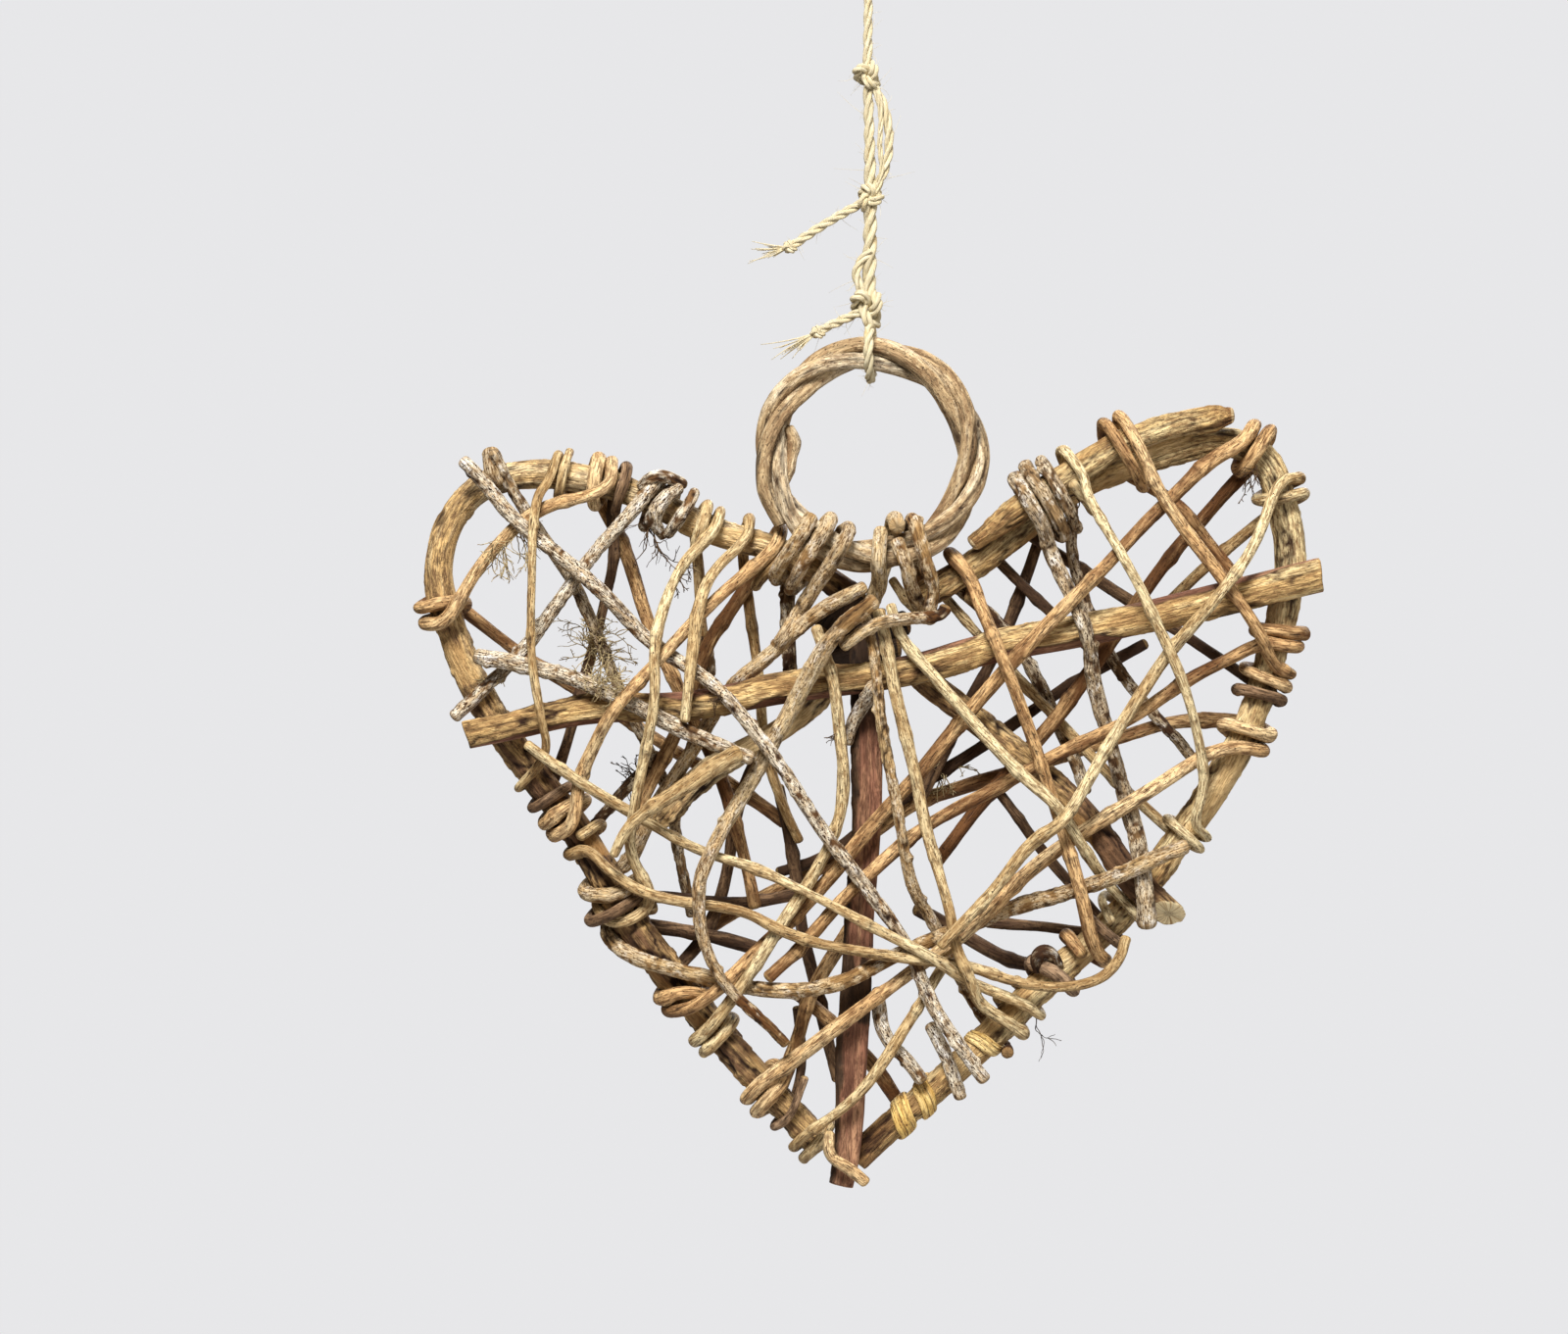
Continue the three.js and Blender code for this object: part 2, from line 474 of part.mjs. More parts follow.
addPiece('ring', tube(ring, section(VINE_SIDES, RING_STRAND_RADIUS)), COIL);

settle(VINES, [
  { points: leftFrame, radius: FRAME_RADIUS },
  { points: rightFrame, radius: FRAME_RADIUS },
  { points: lobeStick, radius: LOBE_STICK_RADIUS },
  { points: crossStick, radius: CROSS_HALF_HEIGHT },
  { points: stake, radius: STAKE_HALF_WIDTH },
  { points: rightBrace, radius: BRACE_RADIUS },
  { points: leftBrace, radius: BRACE_RADIUS },
  { points: ring, radius: RING_STRAND_RADIUS },
]);
for (const { name, radius, material, points } of VINES) {
  addPiece(name, tube(points.map((point) => point.at), section(VINE_SIDES, radius)), material);
}

// The twine: a loop round the ring's top, a knot, the line with a slack bow, a second knot and an eye
const TWINE_STEP = 6.5;
const wasm = await Module();
wasm.setup();

function solid(geometry) {
  geometry.deleteAttribute('normal');
  geometry.deleteAttribute('uv');
  const merged = mergeVertices(geometry, 1e-3);
  const vertProperties = merged.attributes.position.array;
  const triVerts = new Uint32Array(merged.index.array);
  return new wasm.Manifold(new wasm.Mesh({ numProp: 3, vertProperties, triVerts }));
}

function twinePiece(...flat) {
  return tube(bend(places(flat, RING_DEPTH), TWINE_STEP), section(STICK_SIDES, TWINE_RADIUS));
}

function knot({ x, z, halfWidth, halfHeight }) {
  const lump = new THREE.SphereGeometry(1, 8, 6).scale(halfWidth, halfWidth, halfHeight);
  return lump.translate(x, RING_DEPTH, z);
}

function twineLoop(radius, corners) {
  return new THREE.TorusGeometry(radius, TWINE_RADIUS, 6, corners);
}

function twineGeometry() {
  const ringLoopRadius = STRAND_ORBIT + RING_STRAND_RADIUS + TWINE_RADIUS + GAP;
  const eyeHeight = HANG_HEIGHT - TWINE_EYE_RADIUS + TWINE_RADIUS;
  const lower = { x: -0.5, z: RING_RADIUS + ringLoopRadius + 4, halfWidth: 3, halfHeight: 4.6 };
  const middle = { x: -0.2, z: 52.4, halfWidth: 2.4, halfHeight: 2.8 };
  const upper = { x: -0.6, z: 77.4, halfWidth: 2.4, halfHeight: 3.2 };
  const line = twinePiece(-0.4, 32, 0, 53, -0.6, 77, -0.4, eyeHeight - TWINE_EYE_RADIUS);
  const bow = twinePiece(0, 52, 4, 60, 3.6, 70, -0.6, 77.4);
  const lowerTail = twinePiece(-1.4, 29.4, -10, 25.6, -18.2, 20.4);
  const upperTail = twinePiece(-0.4, 52, -11.6, 45.6, -17.6, 41.4, -23.2, 40.4);
  const ringLoop = twineLoop(ringLoopRadius, 12).rotateY(Math.PI / 2);
  const eye = twineLoop(TWINE_EYE_RADIUS, 10).rotateX(Math.PI / 2);
  ringLoop.translate(0, RING_DEPTH, RING_RADIUS);
  eye.translate(-0.4, RING_DEPTH, eyeHeight);
  const pieces = [ringLoop, knot(lower), line, bow, lowerTail, upperTail, knot(middle), knot(upper), eye];
  const joined = pieces.map(solid).reduce((whole, piece) => whole.add(piece)).getMesh();
  const geometry = new THREE.BufferGeometry();
  geometry.setAttribute('position', new THREE.BufferAttribute(joined.vertProperties, 3));
  geometry.setIndex(new THREE.BufferAttribute(joined.triVerts, 1));
  return geometry;
}
addPiece('hanging_twine', twineGeometry(), TWINE);

const object = new THREE.Group();
object.add(heart);

export default object;
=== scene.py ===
import json
import math
import zlib

import bmesh
import bpy
import numpy as np
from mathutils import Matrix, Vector


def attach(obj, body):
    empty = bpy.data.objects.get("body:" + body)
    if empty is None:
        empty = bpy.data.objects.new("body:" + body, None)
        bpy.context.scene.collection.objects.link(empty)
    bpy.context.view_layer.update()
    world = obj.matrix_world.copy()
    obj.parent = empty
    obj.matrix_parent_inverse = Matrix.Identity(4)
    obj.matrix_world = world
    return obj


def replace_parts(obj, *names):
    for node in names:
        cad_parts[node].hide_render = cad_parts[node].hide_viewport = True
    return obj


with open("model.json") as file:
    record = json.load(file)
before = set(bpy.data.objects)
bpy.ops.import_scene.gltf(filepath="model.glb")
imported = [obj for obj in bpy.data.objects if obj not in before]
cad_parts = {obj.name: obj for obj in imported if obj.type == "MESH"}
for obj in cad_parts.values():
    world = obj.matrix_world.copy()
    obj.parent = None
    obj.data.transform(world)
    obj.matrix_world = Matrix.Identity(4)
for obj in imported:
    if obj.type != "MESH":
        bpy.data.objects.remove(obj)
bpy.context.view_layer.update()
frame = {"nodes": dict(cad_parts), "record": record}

# The view: the heart hangs free over a small pale floor and is seen straight from its front, from
# about a metre away, in soft light that comes mostly from above left and a little from the right.
PICTURE_WIDTH = 0.320
PICTURE_CENTRE = Vector((-0.0176, 0.003, -0.1451))
LENS = 120
SENSOR_WIDTH = 36
FLOOR_HEIGHT = -0.345
FLOOR_RADIUS = 0.30
FLOOR_GREY = (0.40, 0.40, 0.405, 1)
BACKDROP_GREY = (0.80, 0.80, 0.815, 1)
FILL_LIGHT = (0.185, 0.16, 0.13, 1)
# Where each light stands and what it is aimed at, its width in metres, its watts and its colour
LIGHTS = {
    "key_light": ((-0.20, -0.80, 0.70), (0, 0, -0.15), 0.45, 29.5, (1.0, 0.985, 0.965)),
    "side_light": ((0.75, -0.65, 0.05), (0.03, 0, -0.16), 0.6, 3.6, (1.0, 0.98, 0.95)),
    "back_light": ((0.35, 0.8, 0.35), (0, 0, -0.15), 0.7, 9, (0.95, 0.97, 1.0)),
}

camera = bpy.data.objects.new("camera", bpy.data.cameras.new("camera"))
camera.data.lens = LENS
camera.data.sensor_width = SENSOR_WIDTH
camera.location = PICTURE_CENTRE - Vector((0, PICTURE_WIDTH * LENS / SENSOR_WIDTH, 0))
camera.rotation_euler = (math.pi / 2, 0, 0)
bpy.context.scene.collection.objects.link(camera)
bpy.context.scene.camera = camera
bpy.context.scene.view_settings.view_transform = "Standard"


def node(tree, kind, inputs=None, **settings):
    """Adds a shader node; an input is a value or the socket that feeds it."""
    made = tree.nodes.new(kind)
    for setting, value in settings.items():
        setattr(made, setting, value)
    for name, value in (inputs or {}).items():
        if isinstance(value, bpy.types.NodeSocket):
            tree.links.new(value, made.inputs[name])
        else:
            made.inputs[name].default_value = value
    return made


for name, (place, aim, width, watts, colour) in LIGHTS.items():
    lamp = bpy.data.objects.new(name, bpy.data.lights.new(name, "AREA"))
    lamp.data.size = width
    lamp.data.energy = watts
    lamp.data.color = colour
    lamp.location = place
    lamp.rotation_euler = (Vector(aim) - Vector(place)).to_track_quat("-Z", "Y").to_euler()
    bpy.context.scene.collection.objects.link(lamp)

world = bpy.data.worlds.new("studio")
world.use_nodes = True
world.node_tree.nodes.clear()
seen = node(world.node_tree, "ShaderNodeLightPath").outputs["Is Camera Ray"]
fill = node(world.node_tree, "ShaderNodeBackground", {"Color": FILL_LIGHT})
backdrop = node(world.node_tree, "ShaderNodeBackground", {"Color": BACKDROP_GREY})
sky = node(world.node_tree, "ShaderNodeMixShader", {0: seen, 1: fill.outputs[0], 2: backdrop.outputs[0]})
node(world.node_tree, "ShaderNodeOutputWorld", {"Surface": sky.outputs[0]})
bpy.context.scene.world = world

bpy.ops.mesh.primitive_circle_add(vertices=96, radius=FLOOR_RADIUS, fill_type="NGON",
                                  location=(0, 0, FLOOR_HEIGHT))
floor = bpy.context.object
floor.name = "floor"
floor_paint = bpy.data.materials.new("floor_paint")
floor_paint.use_nodes = True
paint = floor_paint.node_tree.nodes["Principled BSDF"].inputs
paint["Base Color"].default_value = FLOOR_GREY
paint["Roughness"].default_value = 0.8
floor.data.materials.append(floor_paint)

# The twine: a loosely twisted cream plant fibre. It is looped round the ring's top and knotted, runs up
# doubled with a slack bow between two more knots, leaves two frayed tails and ends in a tied eye.
MM = 0.001
TWINE_RADIUS = 1.15
TWINE_PLIES = 3
TWINE_PITCH = 12.0
TWINE_STEP = 0.35
STRAND_SIDES = 10
FIBRE_STEP = 0.5
FIBRE_RADIUS = 0.045
FRAYED_FIBRES = 26
LINE_GIRTH = (1.45, 1.5, 1.4, 1.15, 1.1, 1.0, 0.95)
LINE_ROUTE = [(-0.4, 32), (-0.1, 42), (0, 53), (-0.2, 65), (-0.6, 77), (-0.5, 87), (-0.4, 96.1)]
BOW_ROUTE = [(0, 52), (4, 60), (3.6, 70), (-0.6, 77.4)]
INNER_BOW_ROUTE = [(0.4, 51), (2.6, 57), (1.7, 63), (2.4, 70), (-0.2, 77)]
BIGHT_ROUTE = [(0.2, 41.5), (-2.0, 39.6), (-3.2, 36.8), (-2.0, 33.6), (-0.4, 31)]
LOWER_TAIL_ROUTE = [(-1.4, 29.4), (-5.5, 27.6), (-10, 25.6), (-14, 22.8), (-18.2, 20.4)]
UPPER_TAIL_ROUTE = [(-0.4, 52), (-6, 49), (-11.6, 45.6), (-17.6, 41.4), (-23.2, 40.4)]
HANG_HEIGHT = 102
RING_TOP = 20.8 - HANG_HEIGHT
EYE_RADIUS = 3.6
RING_LOOP_RADIUS = 5.32
# Where each knot is, its half width, half height and tilt, the share of the twine's thickness and its pitch
KNOTS = {
    "lower_knot": ((-0.5, 30.1, 3.4, 4.9, 0.3), 1.0, 9.0),
    "middle_knot": ((-0.2, 52.4, 2.9, 3.2, -0.5), 0.9, 8.0),
    "upper_knot": ((-0.6, 77.4, 2.9, 3.6, 0.6), 0.9, 8.0),
}
STOPPER_KNOT = (0, HANG_HEIGHT, 1.9, 2.3, 1.1)


def rounded(points, flank=None):
    """A smooth line along a bent one: it touches the middle of short stretches and rounds each corner."""
    corners = [points[0]]
    for here, there in zip(points[:-1], points[1:]):
        length = np.linalg.norm(there - here)
        if flank and length > 2 * flank:
            corners += [here + (there - here) * flank / length, there - (there - here) * flank / length]
        corners.append(there)
    middles = [corners[0]] + [(a + b) / 2 for a, b in zip(corners[:-1], corners[1:])] + [corners[-1]]
    line = [corners[0]]
    for start, corner, end in zip(middles[1:-2], corners[1:-1], middles[2:-1]):
        for t in np.linspace(0, 1, 13)[:-1]:
            line.append((1 - t) ** 2 * start + 2 * t * (1 - t) * corner + t * t * end)
    return np.array(line + [middles[-2], corners[-1]])


def spaced(line, step):
    """The same line with points an even step apart, and how far along each one is."""
    gaps = np.linalg.norm(np.diff(line, axis=0), axis=1)
    along = np.concatenate([[0], np.cumsum(gaps)])
    even = np.linspace(0, along[-1], max(4, int(round(along[-1] / step)) + 1))
    return np.stack([np.interp(even, along, line[:, k]) for k in range(3)], axis=1), even


def unit(ways):
    """The same ways, each one long."""
    return ways / np.linalg.norm(ways, axis=-1, keepdims=True)


def across(line):
    """Two directions across a line, all along it, that don't twist, the first of them to the front."""
    ahead = unit(np.gradient(line, axis=0))
    side = np.zeros_like(line)
    front = np.array((0.0, -1.0, 0.0)) if abs(ahead[0][1]) < 0.9 else np.array((1.0, 0.0, 0.0))
    for i in range(len(line)):
        before = side[i - 1] if i else front
        side[i] = unit(before - ahead[i] * (before @ ahead[i]))
    return side, np.cross(ahead, side)


def tube(line, radius, sides, marks=None):
    """Rings of points round a line; the radius is one number, one a ring or one a point."""
    side, up = across(line)
    around = np.linspace(0, 2 * math.pi, sides, endpoint=False)
    reach = np.broadcast_to(np.asarray(radius, float).reshape(-1, 1)
                            if np.ndim(radius) < 2 else radius, (len(line), sides))
    out = side[:, None] * np.cos(around)[None, :, None] + up[:, None] * np.sin(around)[None, :, None]
    return line[:, None] + reach[:, :, None] * out, marks or {}


def skin(name, tubes, material):
    """One mesh of closed tubes, with their marks as attributes; it rides with the heart."""
    places, faces, values, count = [], [], {}, 0
    for rings, marks in tubes:
        n, m = rings.shape[:2]
        index = count + np.arange(n * m).reshape(n, m)
        turned = np.roll(index, -1, axis=1)
        first, last = count + n * m, count + n * m + 1
        faces += np.stack([index[:-1], turned[:-1], turned[1:], index[1:]], -1).reshape(-1, 4).tolist()
        faces += [(first, b, a) for a, b in zip(index[0].tolist(), turned[0].tolist())]
        faces += [(last, a, b) for a, b in zip(index[-1].tolist(), turned[-1].tolist())]
        places += [rings.reshape(-1, 3), rings[0].mean(0)[None], rings[-1].mean(0)[None]]
        for key, value in marks.items():
            flat = value.reshape(n * m, -1)
            caps = [value[0].reshape(m, -1).mean(0), value[-1].reshape(m, -1).mean(0)]
            values.setdefault(key, []).append(np.concatenate([flat, caps]))
        count += n * m + 2
    mesh = bpy.data.meshes.new(name)
    mesh.from_pydata(np.concatenate(places).tolist(), [], faces)
    mesh.shade_smooth()
    for key, value in values.items():
        value = np.concatenate(value).astype(np.float32)
        kind = "FLOAT_VECTOR" if value.shape[1] == 3 else "FLOAT"
        field = "vector" if value.shape[1] == 3 else "value"
        mesh.attributes.new(key, kind, "POINT").data.foreach_set(field, value.ravel())
    piece = bpy.data.objects.new(name, mesh)
    piece.data.materials.append(material)
    bpy.context.scene.collection.objects.link(piece)
    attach(piece, "root")
    return piece


def from_hex(text):
    """A colour as it looks on a screen, as the linear values a shader takes."""
    parts = [int(text[i:i + 2], 16) / 255 for i in (0, 2, 4)]
    return [p / 12.92 if p <= 0.04045 else ((p + 0.055) / 1.055) ** 2.4 for p in parts] + [1]


def new_group(name, inputs, outputs):
    """A shader node group with the given sockets, and its two end nodes."""
    group = bpy.data.node_groups.new(name, "ShaderNodeTree")
    for socket, kind in inputs.items():
        group.interface.new_socket(socket, in_out="INPUT", socket_type="NodeSocket" + kind)
    for socket, kind in outputs.items():
        group.interface.new_socket(socket, in_out="OUTPUT", socket_type="NodeSocket" + kind)
    return group, group.nodes.new("NodeGroupInput").outputs, group.nodes.new("NodeGroupOutput").inputs


# Uneven streaks or spots that run with the grain, used on the twine and on every bark
streaks, given, wanted = new_group(
    "grain_streaks",
    {"Grain": "Vector", "Width": "Float", "Length": "Float", "Low": "Float", "High": "Float"},
    {"Mask": "Float"})
apart = node(streaks, "ShaderNodeSeparateXYZ", {0: given["Grain"]}).outputs
shares = [node(streaks, "ShaderNodeMath", {0: apart[axis], 1: given[size]}, operation="DIVIDE").outputs[0]
          for axis, size in ((0, "Width"), (1, "Width"), (2, "Length"))]
cells = node(streaks, "ShaderNodeCombineXYZ", dict(enumerate(shares)))
uneven = node(streaks, "ShaderNodeTexNoise",
              {"Vector": cells.outputs[0], "Scale": 1.0, "Detail": 3.0, "Roughness": 0.6})
steep = node(streaks, "ShaderNodeMapRange",
             {"Value": uneven.outputs[0], "From Min": given["Low"], "From Max": given["High"]},
             interpolation_type="SMOOTHSTEP")
streaks.links.new(steep.outputs[0], wanted["Mask"])


def streak(tree, grain, width, length, low, high):
    """A mask of streaks that are so many millimetres wide and long."""
    group = node(tree, "ShaderNodeGroup", node_tree=streaks)
    tree.links.new(grain, group.inputs["Grain"])
    for name, value in (("Width", width), ("Length", length), ("Low", low), ("High", high)):
        group.inputs[name].default_value = value
    return group.outputs["Mask"]


def mixed(tree, share, below, above):
    """A colour between two, by a mask."""
    mix = node(tree, "ShaderNodeMix", {0: share, 6: below, 7: above}, data_type="RGBA")
    return mix.outputs[2]


def mark(tree, name):
    """A value that the mesh carries."""
    return node(tree, "ShaderNodeAttribute", attribute_name=name).outputs["Fac"]


def grain_of(tree):
    return node(tree, "ShaderNodeAttribute", attribute_name="grain").outputs["Vector"]


def finish_material(material, colour, height, depth, roughness):
    """Closes a material: its colour, a bump of so many metres and its roughness."""
    tree = material.node_tree
    bump = node(tree, "ShaderNodeBump", {"Height": height, "Distance": depth, "Strength": 1.0})
    surface = node(tree, "ShaderNodeBsdfPrincipled",
                   {"Base Color": colour, "Roughness": roughness, "Normal": bump.outputs[0]})
    surface.inputs["Specular IOR Level"].default_value = 0.25
    node(tree, "ShaderNodeOutputMaterial", {"Surface": surface.outputs[0]})
    return material


def new_material(name):
    material = bpy.data.materials.new(name)
    material.use_nodes = True
    material.node_tree.nodes.clear()
    return material, material.node_tree


def twine_material():
    material, tree = new_material("twine_fibre")
    grain = grain_of(tree)
    fibre = streak(tree, grain, 0.16, 2.5, 0.35, 0.7)
    pale = mixed(tree, fibre, from_hex("c8b992"), from_hex("e2d8bc"))
    stain = streak(tree, grain, 2.0, 5.0, 0.55, 0.75)
    colour = mixed(tree, stain, pale, from_hex("c2aa7a"))
    return finish_material(material, colour, fibre, 0.00012, 0.9)


TWINE_FIBRE = twine_material()


def along_stem(values, along):
    """One value or several at even shares of a stem's length, read off anywhere along it."""
    return np.interp(along, np.linspace(0, along[-1], np.size(values)), np.ravel(values))


def plies(line, radius, pitch):
    """Twisted strands that make one twine, as tubes."""
    line, along = spaced(line, TWINE_STEP * MM)
    side, up = across(line)
    radius = along_stem(radius, along)[:, None]
    strand = radius / (1 + 1 / math.sin(math.pi / TWINE_PLIES))
    orbit = radius - strand
    made = []
    for k in range(TWINE_PLIES):
        turn = (2 * math.pi * (along / (pitch * MM) + k / TWINE_PLIES))[:, None]
        wound = line + orbit * MM * (side * np.cos(turn) + up * np.sin(turn))
        around = np.linspace(0, 2 * math.pi, STRAND_SIDES, endpoint=False)[None, :] + 0 * turn
        lumps = 1 + 0.05 * np.sin(along / MM * 2.3 + 5 * k)
        grain = np.stack([strand * np.cos(around), strand * np.sin(around),
                          along[:, None] / MM + 0 * around + 31 * k], -1)
        made.append(tube(wound, strand[:, 0] * MM * lumps, STRAND_SIDES, {"grain": grain}))
    return made


def hairs(rng, roots, outs, length, bend, thickness):
    """Loose fibres: thin tapering threads that start at the roots and curl away."""
    made = []
    for root, out in zip(roots, outs):
        reach = length * rng.uniform(0.4, 1.2)
        curl = rng.normal(0, bend, 3)
        t = np.linspace(0, 1, 7)[:, None]
        line = root + reach * MM * (out * t + curl * t * t)
        grain = np.repeat(line[:, None, :] / MM, 4, axis=1)
        made.append(tube(line, thickness * MM * (1 - 0.7 * t[:, 0]), 4, {"grain": grain}))
    return made


def fuzz(rng, line, count, length):
    """Fibres that stand off a twine all along it."""
    picks = rng.integers(1, len(line) - 1, count)
    outs = unit(rng.normal(0, 1, (count, 3)) + 1.2 * unit(line[picks + 1] - line[picks]))
    return hairs(rng, line[picks] + outs * 0.7 * TWINE_RADIUS * MM, outs, length, 0.5, FIBRE_RADIUS)


def twine_line(route, depth=0.0):
    """The middle of a stretch of twine, from its places in the ring's plane or beside it."""
    return rounded(np.array([(x, depth, z - HANG_HEIGHT) for x, z in route]) * MM)


def seeded(name):
    """Random numbers of a piece's own, the same on every run."""
    return np.random.default_rng(zlib.crc32(name.encode()))


def twine_piece(name, line, radius, pitch, fibres=0):
    tubes = plies(line, radius, pitch)
    tubes += fuzz(seeded(name), spaced(line, FIBRE_STEP * MM)[0], fibres, 3.0)
    return skin(name, tubes, TWINE_FIBRE)


def overhand(x, z, half_width, half_height, tilt):
    """The line of a pulled knot: an overhand turn drawn up tight."""
    t = np.linspace(0, 2 * math.pi, 60)
    wide = half_width - 0.8 * TWINE_RADIUS
    tall = half_height - 0.8 * TWINE_RADIUS
    broad = wide * (np.sin(t) + 2 * np.sin(2 * t)) / 3
    deep = -0.8 * wide * np.sin(3 * t)
    high = tall * (np.cos(t) - 2 * np.cos(2 * t)) / 3
    turned = broad * math.cos(tilt) - high * math.sin(tilt)
    raised = broad * math.sin(tilt) + high * math.cos(tilt)
    return np.stack([x + turned, deep, z - HANG_HEIGHT + raised], 1) * MM


def frayed_tail(name, route, knot_at):
    """A tail with a small stopper knot, whose plies come apart beyond it."""
    rng = seeded(name)
    even, _ = spaced(twine_line(route), TWINE_STEP * MM)
    tied = int(knot_at * len(even))
    stop = overhand(*STOPPER_KNOT) * 0.8 + even[tied]
    roots = np.repeat(even[tied:tied + 1], FRAYED_FIBRES, axis=0)
    outs = unit(even[-1] - even[tied]) + rng.normal(0, 0.12, (FRAYED_FIBRES, 3))
    reach = np.linalg.norm(even[-1] - even[tied]) / MM
    tubes = plies(even[:tied + 1], TWINE_RADIUS * 0.86, 8.0)
    tubes += plies(stop, TWINE_RADIUS * 0.62, 6.0)
    tubes += hairs(rng, roots, outs, reach, 0.10, 0.20)
    tubes += fuzz(rng, even[:tied + 1], FRAYED_FIBRES, 2.4)
    return skin(name, tubes, TWINE_FIBRE)


round_turn = np.linspace(0, 2 * math.pi, 70)
eye_line = np.stack([-0.4 + EYE_RADIUS * np.sin(round_turn), 0.25 * np.sin(round_turn / 2),
                     1.3 - EYE_RADIUS - EYE_RADIUS * np.cos(round_turn)], 1) * MM
loop_line = np.stack([0.5 * np.sin(round_turn), RING_LOOP_RADIUS * np.sin(round_turn),
                      RING_TOP - RING_LOOP_RADIUS * np.cos(round_turn + math.pi)], 1) * MM
main_line = twine_line(LINE_ROUTE)
hanging_line = twine_piece("hanging_line", main_line, LINE_GIRTH, TWINE_PITCH)
loose_fibres = fuzz(np.random.default_rng(5), spaced(main_line, FIBRE_STEP * MM)[0], 90, 3.0)
on_the_line = [
    skin("loose_fibres", loose_fibres, TWINE_FIBRE),
    twine_piece("ring_loop", loop_line, TWINE_RADIUS * 0.92, 10.0, 26),
    *(twine_piece(name, overhand(*shape), TWINE_RADIUS * share, pitch, 22)
      for name, (shape, share, pitch) in KNOTS.items()),
    twine_piece("slack_bow", twine_line(BOW_ROUTE), TWINE_RADIUS * 0.85, 11.0, 40),
    twine_piece("inner_bow", twine_line(INNER_BOW_ROUTE, -0.8), TWINE_RADIUS * 0.5, 9.0, 24),
    twine_piece("knot_bight", twine_line(BIGHT_ROUTE, -1.0), TWINE_RADIUS * 0.85, 10.0, 24),
    twine_piece("hanging_eye", eye_line, TWINE_RADIUS, 9.0, 10),
    frayed_tail("lower_tail", LOWER_TAIL_ROUTE, 0.55),
    frayed_tail("upper_tail", UPPER_TAIL_ROUTE, 0.72),
]
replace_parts(hanging_line, "hanging_twine")

# The heart's frame: two bent sticks, thick as a pencil, with yellow-brown fibrous bark that has cracked
# along the grain and peeled in places. Two short braces and a stick on the right lobe are lashed to them.
STICK_FACETS = 8
STICK_SIDES = 48
STICK_STEP = 0.4
SEAM = 2e-6
# Each stick's radii and tones along it, how far its two ends thin out, and how round they are worn
STICKS = {
    "frame_left": ((2.8, 2.9, 2.95, 3.1, 3.3, 3.35, 3.1),
                   (0.5, 0.8, 0.8, 0.6, 0.45, 0.22, 0.12, 0.18, 0.5), (0, 3), 0.2),
    "frame_right": ((2.9, 2.9, 3.0, 3.1, 3.05, 2.95, 2.85),
                    (0.55, 0.75, 0.95, 0.95, 0.85, 0.6, 0.5), (0, 0), 0.2),
    "lobe_stick": ((2.7, 2.8, 2.8, 2.75, 2.6), (0.45, 0.65, 0.6, 0.5, 0.4), (4, 12), 0.75),
    "brace_right": ((2.45, 2.6, 2.7, 2.8, 2.9), (0.5, 0.4, 0.25, 0.0, 0.45), (0, 0), 0.2),
    "brace_left": ((2.3, 2.6, 2.7, 2.5), (0.8, 0.95, 0.95, 0.8), (3, 3), 0.5),
}
SLANT_CUT = {"brace_right": (0.2, 0.95, 0.3)}
SLANT_REACH = 6
GOLDEN_STICKS = ("lobe_stick", "frame_right")
# Spots on the sticks: how far across and up they are, how wide and how strong
STAINS = ((-2, -132, 9, 0.7), (75, -95, 4, 0.8), (56, -189, 7, 0.5), (-62, -168, 9, 0.25),
          (40, -190, 5, 0.3), (60, -99, 6, -0.4), (-3, -245, 8, 0.5))
ROUGH_SPOTS = ((-54, -180, 24, 1.1), (-28, -214, 20, 1.1), (32, -180, 16, 0.8))
slot_of = {entry["node"]: entry["material_slot"] for entry in frame["record"]["subparts"]}
# The middle line of every stick and vine that is drawn, by its name
lines = {}


def levels(start):
    """The rings of a tube, one after the other, from the ring at its end."""
    rings, known = [start], set(start)
    while rings[-1]:
        beside = {edge.other_vert(v) for v in rings[-1] for edge in v.link_edges}
        rings.append(list(beside - known))
        known |= beside
    return rings[:-1]


def flat_patch(face):
    """The faces that lie flat with this one and touch it."""
    patch, waiting = {face}, [face]
    while waiting:
        for edge in waiting.pop().edges:
            for other in edge.link_faces:
                if other not in patch and other.normal.dot(face.normal) > 0.99999:
                    patch.add(other)
                    waiting.append(other)
    return patch


def welded(name):
    """A plain solid of the frame, with its faces joined at their edges."""
    solid = bmesh.new()
    solid.from_mesh(frame["nodes"][name].data)
    bmesh.ops.remove_doubles(solid, verts=solid.verts, dist=SEAM)
    return solid


def centreline(name, facets):
    """The middle line of a plain tube of the frame, from the middles of its rings, upper end first."""
    solid = welded(name)
    for face in solid.faces:
        patch = flat_patch(face)
        end = {v for part in patch for v in part.verts}
        if len(end) != facets or len(patch) != facets - 2:
            continue
        rings = levels(list(end))
        if all(len(ring) == facets for ring in rings):
            break
    middles = np.array([np.mean([v.co for v in ring], axis=0) for ring in rings])
    solid.free()
    return middles if middles[0][2] > middles[-1][2] else middles[::-1]


